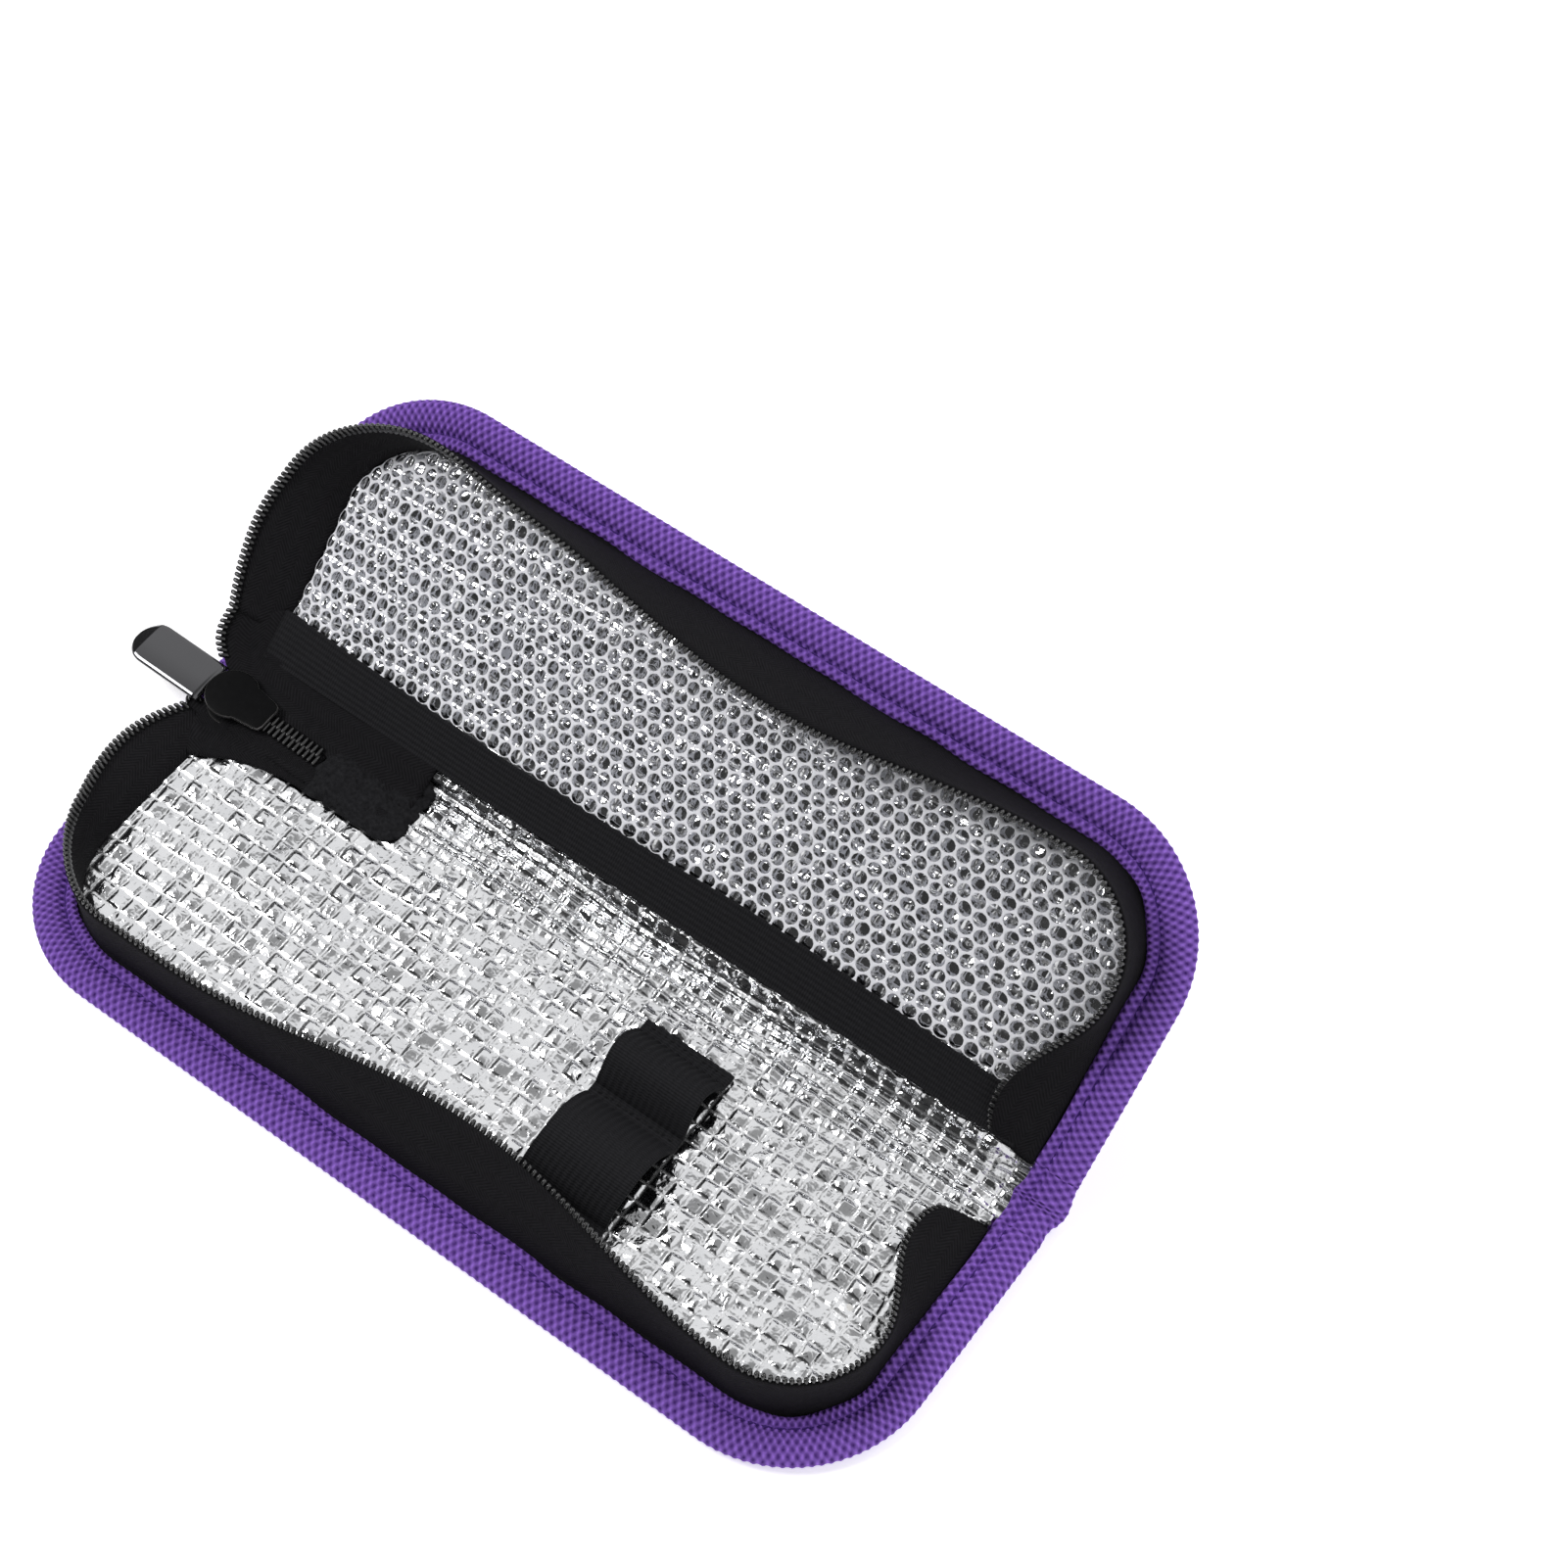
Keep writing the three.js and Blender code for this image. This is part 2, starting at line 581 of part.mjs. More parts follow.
// The base lies flat on the table, drawn towards -Y from the fold
const base = new THREE.Group();
base.position.set(0, PANEL_DEPTH / 2, 0);
const towardsFront = (geometry) => geometry.scale(1, -1, 1);
addHalf(base, 'base', BASE_START, BASE_FRONT_LEAN, towardsFront);
piece(base, 'pen_loop_band', towardsFront(penBandGeometry()), blackElastic());
coolingCase.add(base);

// The spine joins the halves and bends round the fold
piece(base, 'spine_cover', spineLayer(BINDING_WIDTH + GAP, 0, COVER_THICKNESS), violetCover());
piece(base, 'spine_foam', spineLayer(LINING_INSET, FOAM_BOTTOM, FOAM_THICKNESS), whiteFoam());
piece(base, 'spine_foil_lining', spineLayer(BINDING_WIDTH + GAP, FOIL_BOTTOM, FOIL_THICKNESS), silverFoil());
piece(base, 'spine_binding_left', spineBinding(-1), violetBinding());
piece(base, 'spine_binding_right', spineBinding(1), violetBinding());
piece(base, 'zip_end_patch', patchGeometry(), blackElastic());

// The lid turns about the fold axis
const lidHinge = new THREE.Group();
lidHinge.position.set(0, PANEL_DEPTH / 2, HINGE_HEIGHT);
lidHinge.rotation.x = LID_TILT;
const lid = new THREE.Group();
lid.position.z = -HINGE_HEIGHT;
const asDrawn = (geometry) => geometry;
addHalf(lid, 'lid', LID_START, LID_FRONT_LEAN, asDrawn);
piece(lid, 'pocket_band', pocketBandGeometry(), blackElastic());
piece(lid, 'mesh_pocket', netGeometry(), whiteNet());
lidHinge.add(lid);
coolingCase.add(lidHinge);

// The zip's slider, pull tab and closed tail share one slightly tilted line
const zip = new THREE.Group();
zip.position.set(SLIDER_X, PANEL_DEPTH / 2 - SLIDER_V, SLIDER_HEIGHT);
zip.rotation.y = SLIDER_TILT;
piece(zip, 'zip_tail_tape', tailTapeGeometry(), blackTape());
piece(zip, 'zip_tail_coil', tailCoilGeometry(), blackCoil());
piece(zip, 'zip_slider', sliderGeometry(), blackMetal());
piece(zip, 'pull_tab', tabGeometry(), blackMetal());
coolingCase.add(zip);

export default coolingCase;
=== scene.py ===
"""Looks of a soft zip-round cooling case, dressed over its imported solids.

Lengths in the classes are millimetres in fold coordinates: x along the case, v the distance
from the fold, z up from a panel's outer face. They become metres in the row frame when a mesh
is made.
"""

import json
import logging
import math
from dataclasses import dataclass, field
from enum import Enum, IntEnum
from functools import cache
from typing import Any, Callable, Optional, Sequence, Union

import bpy
import numpy as np
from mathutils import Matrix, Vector

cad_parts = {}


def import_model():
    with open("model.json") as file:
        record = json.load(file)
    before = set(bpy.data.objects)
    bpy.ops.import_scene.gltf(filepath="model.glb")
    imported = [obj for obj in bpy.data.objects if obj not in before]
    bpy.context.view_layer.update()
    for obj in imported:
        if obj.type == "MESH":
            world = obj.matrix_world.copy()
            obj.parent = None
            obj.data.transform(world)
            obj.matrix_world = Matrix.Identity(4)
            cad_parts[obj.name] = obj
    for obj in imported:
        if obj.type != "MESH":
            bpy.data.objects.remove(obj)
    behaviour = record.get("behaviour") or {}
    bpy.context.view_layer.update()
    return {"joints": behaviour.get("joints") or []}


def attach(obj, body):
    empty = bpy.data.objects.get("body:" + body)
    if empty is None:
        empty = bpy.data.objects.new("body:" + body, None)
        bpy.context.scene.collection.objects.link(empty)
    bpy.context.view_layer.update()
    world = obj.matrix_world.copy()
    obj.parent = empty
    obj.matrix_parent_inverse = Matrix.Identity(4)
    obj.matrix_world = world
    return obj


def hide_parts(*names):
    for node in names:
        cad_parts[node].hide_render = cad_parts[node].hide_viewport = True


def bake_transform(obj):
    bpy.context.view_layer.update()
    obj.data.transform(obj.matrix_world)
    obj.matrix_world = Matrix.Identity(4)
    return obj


LOG = logging.getLogger("cooling_case")
MM = 0.001
CLOTH_ATTRIBUTE = "cloth_mm"
LINING_TOP = 4.4
SCRIM_PITCH = 3.7
BINDING_RIB = 1.7
BINDING_ROW = 1.3
TOOTH_PITCH = 1.25

Array = np.ndarray
Piece = bpy.types.Object
Pair = tuple[float, float]
Triple = tuple[float, float, float]
Colour = Triple
Form = tuple[Array, list[tuple]]
Term = Union["Value", float]


class Half(Enum):
    """The two padded halves of the case."""

    BASE = "base"
    LID = "lid"


class End(Enum):
    """The two short ends of the case, by the sign of x."""

    LEFT = -1
    RIGHT = 1


class Weave(Enum):
    """How a cloth's yarns lie."""

    CHECKED = "checked"
    TWILL = "twill"
    KNIT = "knit"


class Seed(IntEnum):
    """Seeds of the noise that shapes each piece."""

    FILM = 11
    SCRIM = 13
    SPINE_CREASE = 23
    SPINE_LIP = 29
    BASE_COVER = 31
    LID_COVER = 37
    BASE_WALL = 41
    LID_WALL = 43
    POCKET_BAND = 53
    PEN_BAND = 59
    NET = 61
    PATCH = 71
    WEB = 83


def by_half(base: Any, lid: Any) -> Any:
    """Dataclass field that holds one value for each half."""
    return field(default_factory=lambda: {Half.BASE: base, Half.LID: lid})


# Shader maths


class Value:
    """A socket whose arithmetic adds Math nodes to its material."""

    def __init__(self, graph: "Graph", socket: bpy.types.NodeSocket) -> None:
        """Keeps an output socket and the graph that makes further nodes."""
        self.graph = graph
        self.socket = socket

    def _math(self, operation: str, *terms: Term) -> "Value":
        """Adds one Math node with its inputs in order."""
        return self.graph.node("ShaderNodeMath", {"operation": operation}, dict(enumerate(terms)))

    def __add__(self, other: Term) -> "Value":
        """Sum of two values."""
        return self._math("ADD", self, other)

    __radd__ = __add__

    def __sub__(self, other: Term) -> "Value":
        """Difference of two values."""
        return self._math("SUBTRACT", self, other)

    def __rsub__(self, other: float) -> "Value":
        """Difference from a number."""
        return self._math("SUBTRACT", other, self)

    def __mul__(self, other: Term) -> "Value":
        """Product of two values."""
        return self._math("MULTIPLY", self, other)

    __rmul__ = __mul__

    def sine(self) -> "Value":
        """Sine of an angle in radians."""
        return self._math("SINE", self)

    def size(self) -> "Value":
        """Absolute value."""
        return self._math("ABSOLUTE", self)

    def zigzag(self, width: float) -> "Value":
        """Zigzag from 0 up to a width and back."""
        return self._math("PINGPONG", self, width)

    def at_least(self, limit: float) -> "Value":
        """The value, held at or over a limit."""
        return self._math("MAXIMUM", self, limit)

    def lesser(self, other: "Value") -> "Value":
        """The lesser of two values."""
        return self._math("MINIMUM", self, other)


class Graph:
    """The node graph of one material or of the world."""

    def __init__(
        self, owner: Union[bpy.types.Material, bpy.types.World], shader: str = "Principled BSDF"
    ) -> None:
        """Takes over an owner's nodes.

        Args:
            owner: A material or a world.
            shader: Name of the shader node that comes with it.
        """
        self.owner = owner
        owner.use_nodes = True
        self.tree = owner.node_tree
        self.shader = self.tree.nodes[shader]

    def node(self, kind: str, settings: dict, inputs: dict, output: Union[int, str] = 0) -> Value:
        """Adds any node.

        Args:
            kind: Blender's node type.
            settings: Attributes to set before its sockets.
            inputs: Values or links by socket name or number.
            output: The socket to return.

        Returns:
            The chosen output.
        """
        made = self.tree.nodes.new(kind)
        for key, setting in settings.items():
            setattr(made, key, setting)
        for key, given in inputs.items():
            self._feed(made.inputs[key], given)
        return Value(self, made.outputs[output])

    def _feed(self, socket: bpy.types.NodeSocket, given: object) -> None:
        """Links a value to a socket, or sets its constant.

        Args:
            socket: The input socket.
            given: A Value, a number or a colour.
        """
        if isinstance(given, Value):
            self.tree.links.new(given.socket, socket)
        elif socket.type == "RGBA":
            socket.default_value = (*given, 1.0)
        else:
            socket.default_value = given

    def split(self, vector: Value) -> tuple[Value, ...]:
        """Splits a vector into its three parts."""
        first = self.node("ShaderNodeSeparateXYZ", {}, {0: vector})
        return tuple(Value(self, output) for output in first.socket.node.outputs)

    def cloth(self) -> tuple[Value, ...]:
        """Cloth coordinates in millimetres, along and across the cloth."""
        where = self.node("ShaderNodeAttribute", {"attribute_name": CLOTH_ATTRIBUTE}, {}, "Vector")
        return self.split(where)[:2]

    def ramp(self, value: Value, low: float, high: float) -> Value:
        """Smooth ramp from 0 at low to 1 at high."""
        settings = {"interpolation_type": "SMOOTHSTEP"}
        return self.node("ShaderNodeMapRange", settings, {0: value, 1: low, 2: high})

    def noise(self, per_metre: float, octaves: float) -> Value:
        """Noise over the object, near 0.5, in cycles per metre."""
        where = self.node("ShaderNodeTexCoord", {}, {}, "Object")
        inputs = {"Vector": where, "Scale": per_metre, "Detail": octaves}
        return self.node("ShaderNodeTexNoise", {}, inputs)

    def mix(self, share: Value, first: Union[Value, Colour], second: Union[Value, Colour]) -> Value:
        """Mixes two colours, by the share of the second."""
        return self.node("ShaderNodeMix", {"data_type": "RGBA"}, {0: share, 6: first, 7: second}, 2)

    def bump(self, height: Value, depth_mm: float, strength: float, under: Optional[Value] = None) -> Value:
        """Turns a height from 0 to 1 into a normal.

        Args:
            height: The height pattern.
            depth_mm: What a height of 1 stands for.
            strength: The bump's strength.
            under: A normal from a coarser bump.

        Returns:
            The normal.
        """
        inputs = {"Height": height, "Distance": depth_mm * MM, "Strength": strength}
        if under is not None:
            inputs["Normal"] = under
        return self.node("ShaderNodeBump", {}, inputs)

    def surface(self, **sockets: object) -> Union[bpy.types.Material, bpy.types.World]:
        """Feeds the shader and returns its owner.

        Args:
            sockets: Socket names, with underscores for spaces.

        Returns:
            The finished material or world.
        """
        for key, given in sockets.items():
            self._feed(self.shader.inputs[key.replace("_", " ")], given)
        return self.owner


# Finishes


@dataclass(frozen=True)
class Cloth:
    """Cloth that its weave raises, with painted highlight on the weave's crests, painted shade in its
    hollows, and loose fibres over it.

    A wave of the weave is along_mm up and along_mm down, and the same across; a twill's lines
    slope to and fro over across_mm.
    """

    name: str
    weave: Weave
    dark: Colour
    light: Colour
    along_mm: float
    depth_mm: float
    fibres_per_m: float
    weave_painted_light: float
    fibre_shade: float
    roughness: float
    specular: float
    across_mm: float = 1.0
    slope: float = 1.2
    strength: float = 1.0
    fibre_octaves: float = 3.0
    fibre_mm: float = 0.0
    fibre_strength: float = 0.5
    shade_shift: float = 0.0
    weave_gloss: float = 0.0
    fibre_gloss: float = 0.0

    def height(self, u: Value, v: Value) -> Value:
        """Height of the weave.

        Args:
            u: Distance along the cloth.
            v: Distance across it.

        Returns:
            The height, from 0 to 1.
        """
        rate = math.pi / self.along_mm
        if self.weave is Weave.KNIT:
            return (u * rate).sine().size()
        if self.weave is Weave.TWILL:
            wave = ((u + v.zigzag(self.across_mm) * self.slope) * rate).sine()
        else:
            wave = (u * rate).sine() * (v * (math.pi / self.across_mm)).sine()
        return wave * 0.5 + 0.5

    @cache
    def paint(self) -> bpy.types.Material:
        """Makes the material, once."""
        graph = Graph(bpy.data.materials.new(self.name))
        height = self.height(*graph.cloth())
        fibre = graph.noise(self.fibres_per_m, self.fibre_octaves)
        # Painted highlight and painted shade: the weave's height lightens its crests and darkens its
        # hollows; the fibre noise is random tone.
        shade = height * self.weave_painted_light + fibre * self.fibre_shade
        if self.shade_shift:
            shade = shade + self.shade_shift
        gloss = fibre * self.fibre_gloss if self.fibre_gloss else height * self.weave_gloss
        normal = graph.bump(height, self.depth_mm, self.strength)
        if self.fibre_mm:
            normal = graph.bump(fibre, self.fibre_mm, self.fibre_strength, normal)
        return graph.surface(
            Base_Color=graph.mix(shade, self.dark, self.light),
            Roughness=self.roughness - gloss,
            Normal=normal,
            Specular_IOR_Level=self.specular,
        )


@dataclass(frozen=True)
class ScrimFoil:
    """Aluminised film pressed on a square scrim of threads."""

    film: Colour = (0.90, 0.905, 0.915)
    tarnish: Colour = (0.66, 0.67, 0.695)
    thread: Colour = (0.86, 0.86, 0.87)
    pitch_mm: float = SCRIM_PITCH
    thread_core_mm: float = 0.05
    thread_mm: float = 0.42
    valley_mm: float = 0.8
    valley_depth_mm: float = 0.26
    valley_strength: float = 0.6
    folds_per_m: float = 420.0
    fold_gain: float = 3.0
    fold_depth_mm: float = 0.16
    fold_strength: float = 0.8
    clouds_per_m: float = 150.0
    octaves: float = 2.0
    roughness: float = 0.08
    dulling: float = 0.12
    thread_tint: float = 0.3

    @cache
    def paint(self) -> bpy.types.Material:
        """Makes the material, once."""
        graph = Graph(bpy.data.materials.new("scrim_foil"))
        u, v = graph.cloth()
        nearest = u.zigzag(self.pitch_mm / 2).lesser(v.zigzag(self.pitch_mm / 2))
        thread = 1.0 - graph.ramp(nearest, self.thread_core_mm, self.thread_mm)
        folds = (graph.noise(self.folds_per_m, self.octaves) - 0.5).size() * self.fold_gain
        cloud = graph.noise(self.clouds_per_m, self.octaves)
        film = graph.mix(cloud, self.tarnish, self.film)
        valley = graph.ramp(nearest, 0.0, self.valley_mm)
        folded = graph.bump(folds, self.fold_depth_mm, self.fold_strength)
        return graph.surface(
            Base_Color=graph.mix(thread * self.thread_tint, film, self.thread),
            Metallic=1.0 - thread * self.dulling,
            Roughness=self.roughness + cloud * self.dulling + thread * self.dulling,
            Normal=graph.bump(valley, self.valley_depth_mm, self.valley_strength, folded),
        )


@dataclass(frozen=True)
class RimHighlightEnamel:
    """Black enamel with a painted highlight along its rounded edges: the rim is lighter and metallic."""

    dark: Colour = (0.002, 0.002, 0.0022)
    light: Colour = (0.005, 0.005, 0.0056)
    rim_highlight: Colour = (0.17, 0.165, 0.165)
    grain_per_m: float = 700.0
    grain_octaves: float = 4.0
    strength: float = 0.5
    grain_mm: float = 0.01
    rim_grain: float = 0.5
    rim_start: float = 0.75
    rub_end: float = 1.15
    bare_metal: float = 0.85
    roughness: float = 0.34
    roughness_spread: float = 0.1
    specular: float = 0.06

    @cache
    def paint(self) -> bpy.types.Material:
        """Makes the material, once."""
        graph = Graph(bpy.data.materials.new("slider_enamel"))
        edge, _ = graph.cloth()
        grain = graph.noise(self.grain_per_m, self.grain_octaves)
        # Painted highlight: the rim is made lighter and metallic in place of the light that the rounded
        # edges catch.
        painted_rim = graph.ramp(edge + grain * self.rim_grain, self.rim_start, self.rub_end)
        enamel = graph.mix(grain, self.dark, self.light)
        return graph.surface(
            Base_Color=graph.mix(painted_rim, enamel, self.rim_highlight),
            Metallic=painted_rim * self.bare_metal,
            Roughness=self.roughness + grain * self.roughness_spread,
            Normal=graph.bump(grain, self.grain_mm, self.strength),
            Specular_IOR_Level=self.specular,
        )


@dataclass(frozen=True)
class FloorPaper:
    """Pale paper that glows a little."""

    shade: Colour = (0.9, 0.9, 0.905)
    glow: float = 0.5
    roughness: float = 0.95
    specular: float = 0.1

    @cache
    def paint(self) -> bpy.types.Material:
        """Makes the material, once."""
        graph = Graph(bpy.data.materials.new("pale_floor"))
        return graph.surface(
            Base_Color=self.shade,
            Roughness=self.roughness,
            Specular_IOR_Level=self.specular,
            Emission_Color=(1.0, 1.0, 1.0),
            Emission_Strength=self.glow,
        )


@dataclass(frozen=True)
class PlainFinish:
    """A finish of one colour with fine noise in its gloss and surface."""

    name: str
    dark: Colour
    light: Colour
    roughness: float
    grain_per_m: float
    grain_mm: float
    metallic: float = 0.0
    specular: float = 0.5
    coat: float = 0.0
    grain_octaves: float = 4.0
    strength: float = 0.5
    roughness_spread: float = 0.12

    @cache
    def paint(self) -> bpy.types.Material:
        """Makes the material, once."""
        graph = Graph(bpy.data.materials.new(self.name))
        grain = graph.noise(self.grain_per_m, self.grain_octaves)
        return graph.surface(
            Base_Color=graph.mix(grain, self.dark, self.light),
            Roughness=self.roughness + grain * self.roughness_spread - self.roughness_spread / 2,
            Metallic=self.metallic,
            Normal=graph.bump(grain, self.grain_mm, self.strength),
            Specular_IOR_Level=self.specular,
            Coat_Weight=self.coat,
        )


Finish = Union[Cloth, ScrimFoil, RimHighlightEnamel, FloorPaper, PlainFinish]
SCRIM_FOIL = ScrimFoil()
SLIDER_ENAMEL = RimHighlightEnamel()
COVER_OXFORD = Cloth(
    "cover_oxford", Weave.CHECKED, (0.085, 0.024, 0.20), (0.185, 0.065, 0.40), along_mm=0.62,
    across_mm=0.62, depth_mm=0.22, fibres_per_m=60.0, weave_painted_light=0.55, fibre_shade=0.45,
    roughness=0.66, weave_gloss=0.12, specular=0.22,
)
BINDING_TAPE = Cloth(
    "binding_tape", Weave.CHECKED, (0.05, 0.015, 0.15), (0.35, 0.17, 0.75), along_mm=BINDING_RIB / 2,
    across_mm=BINDING_ROW, depth_mm=0.4, fibres_per_m=2600.0, fibre_octaves=2.0, fibre_mm=0.08,
    weave_painted_light=0.8, fibre_shade=0.4, shade_shift=-0.15, roughness=0.92, weave_gloss=0.15, specular=0.2,
)
ZIP_TWILL = Cloth(
    "zip_twill", Weave.TWILL, (0.0030, 0.0028, 0.0034), (0.015, 0.0145, 0.0165), along_mm=0.425,
    across_mm=2.2, depth_mm=0.10, strength=0.7, fibres_per_m=900.0, fibre_octaves=4.0,
    weave_painted_light=0.5, fibre_shade=0.5, roughness=0.95, fibre_gloss=0.15, specular=0.12,
)
RIBBED_ELASTIC = Cloth(
    "ribbed_elastic", Weave.KNIT, (0.0040, 0.0040, 0.0045), (0.021, 0.021, 0.024), along_mm=0.55,
    depth_mm=0.10, strength=0.6, fibres_per_m=1400.0, weave_painted_light=0.4, fibre_shade=0.5,
    roughness=0.88, weave_gloss=0.1, specular=0.15,
)
COIL_NYLON = PlainFinish(
    "coil_nylon", (0.003, 0.003, 0.0034), (0.010, 0.010, 0.011), 0.28, 1800.0, 0.02, specular=0.9
)
TAB_NICKEL = PlainFinish(
    "tab_nickel", (0.085, 0.085, 0.09), (0.10, 0.10, 0.106), 0.13, 60.0, 0.0, metallic=0.92, coat=0.5
)
NET_YARN = PlainFinish("net_yarn", (0.84, 0.84, 0.89), (0.94, 0.94, 0.98), 0.65, 2500.0, 0.05, specular=0.3)
PATCH_PILE = PlainFinish(
    "patch_pile", (0.000, 0.000, 0.0003), (0.028, 0.028, 0.031), 0.95, 1300.0, 0.5, specular=0.12
)
PANEL_FOAM = PlainFinish("panel_foam", (0.78, 0.77, 0.74), (0.9, 0.89, 0.87), 0.8, 900.0, 0.2)
BINDING_THREAD = PlainFinish(
    "binding_thread", (0.026, 0.008, 0.09), (0.07, 0.024, 0.22), 0.7, 3000.0, 0.05, specular=0.2
)
BLACK_THREAD = PlainFinish(
    "black_thread", (0.004, 0.004, 0.0045), (0.016, 0.016, 0.018), 0.7, 3000.0, 0.05, specular=0.15
)


# Geometry helpers


def smoothstep(low: float, high: float, value: Array) -> Array:
    """Smooth ramp from 0 at low to 1 at high."""
    share = np.clip((np.asarray(value, float) - low) / (high - low), 0.0, 1.0)
    return share * share * (3 - 2 * share)


def bump_window(distance: Array) -> Array:
    """Smooth hill that is 1 at 0 and 0 from a distance of 1."""
    inside = np.abs(distance) < 1
    return np.where(inside, np.cos(np.clip(distance, -1, 1) * math.pi / 2) ** 2, 0.0)


def run_along(points: Array) -> Array:
    """Distance along a line at each of its points."""
    steps = np.linalg.norm(np.diff(points, axis=0), axis=1)
    return np.concatenate([[0], np.cumsum(steps)])


def points_at(places: Array, run: Array, points: Array) -> Array:
    """Points at given places along a line, whose own points lie at the distances in run."""
    return np.stack([np.interp(places, run, column) for column in points.T], -1)


def cloth_rows(along: Array, across: Array) -> Array:
    """Cloth coordinates of a grid, one row for each vertex."""
    return np.stack(np.broadcast_arrays(along, across), -1).reshape(-1, 2)


class Crumple:
    """Seeded value noise over a plane."""

    cells: int = 128

    def __init__(self, seed: Seed) -> None:
        """Draws the lattice."""
        self.lattice = np.random.default_rng(int(seed)).uniform(-1, 1, (self.cells, self.cells))

    def cell(self, column: Array, row: Array) -> Array:
        """Lattice values at whole numbers, from -1 to 1."""
        return self.lattice[column % self.cells, row % self.cells]

    def at(self, x: Array, y: Array, wavelength: float) -> Array:
        """Smooth noise from -1 to 1.

        Args:
            x: First coordinate.
            y: Second coordinate.
            wavelength: Distance between lattice points.

        Returns:
            The noise at each point.
        """
        gx, gy = np.asarray(x) / wavelength, np.asarray(y) / wavelength
        ix, iy = np.floor(gx).astype(int), np.floor(gy).astype(int)
        fx, fy = gx - ix, gy - iy
        sx, sy = fx * fx * (3 - 2 * fx), fy * fy * (3 - 2 * fy)
        low = self.cell(ix, iy) * (1 - sx) + self.cell(ix + 1, iy) * sx
        high = self.cell(ix, iy + 1) * (1 - sx) + self.cell(ix + 1, iy + 1) * sx
        return low * (1 - sy) + high * sy


@dataclass(frozen=True)
class Fold:
    """Where the fold lies in the row frame, how far the lid is raised, and how strips cross it.

    A strip bends over the length arc and lies wholly on one half from the distance reach; middle
    is a height inside it.
    """

    y: float
    z: float
    tilt: float
    arc: float = 4.0
    reach: float = 5.15
    middle: float = 2.0

    def place(self, half: Half, points: Array) -> Array:
        """Takes fold coordinates of a half to the row frame.

        Args:
            half: Which half the points belong to.
            points: Rows of x, v and z.

        Returns:
            Rows of x, y and z.
        """
        x, v, z = np.moveaxis(np.asarray(points, float), -1, 0)
        if half is Half.BASE:
            return np.stack([x, self.y - v, z], -1)
        return self.turned(x, v, z, np.full_like(x, self.tilt))

    def lay(self, half: Half, x: Array, v: Array, z: Array) -> Array:
        """Takes separate fold coordinates of a half to the row frame."""
        return self.place(half, np.stack(np.broadcast_arrays(x, v, z), -1))

    def turned(self, x: Array, across: Array, z: Array, turn: Array) -> Array:
        """Turns points about the fold.

        Args:
            x: Place along the fold.
            across: Distance past the fold before the turn.
            z: Height before the turn.
            turn: Angle of the turn.

        Returns:
            Rows of x, y and z.
        """
        drop = z - self.z
        y = self.y + across * np.cos(turn) - drop * np.sin(turn)
        up = self.z + across * np.sin(turn) + drop * np.cos(turn)
        return np.stack([x, y, up], -1)

    def over(self, x: Array, s: Array, z: Array) -> Array:
        """Carries a strip over the fold.

        Args:
            x: Place along the fold.
            s: Distance from the start of the bend; below 0 on the base, past the arc on the lid.
            z: Height above the panel's outer face.

        Returns:
            Rows of x, y and z.
        """
        x, s, z = np.broadcast_arrays(*(np.asarray(given, float) for given in (x, s, z)))
        turn = self.tilt * np.clip(s / self.arc, 0, 1)
        across = np.where(s < 0, s, np.maximum(s - self.arc, 0))
        return self.turned(x, across, z, turn)

    def strip(self, count: int) -> Array:
        """Distances across a strip that covers the whole fold."""
        return np.linspace(-self.reach, self.arc + self.reach, count)

    def blend(self, piece: Piece, start: Sequence[float], end: Sequence[float]) -> None:
        """Bakes a piece's transform into its mesh; where its bend from the base to the lid would start and
        end is worked out but not used, so nothing bends.

        Args:
            piece: A piece that lies over the fold.
            start: Point in the base's fold coordinates where the bend starts.
            end: Point in the lid's where it ends.
        """
        first = tuple(self.place(Half.BASE, start) * MM)
        last = tuple(self.place(Half.LID, end) * MM)
        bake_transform(piece)

    def wrap(self, piece: Piece) -> None:
        """Bakes a piece that lies over the whole fold, through blend; nothing bends."""
        end = (0.0, self.reach, self.middle)
        self.blend(piece, end, end)


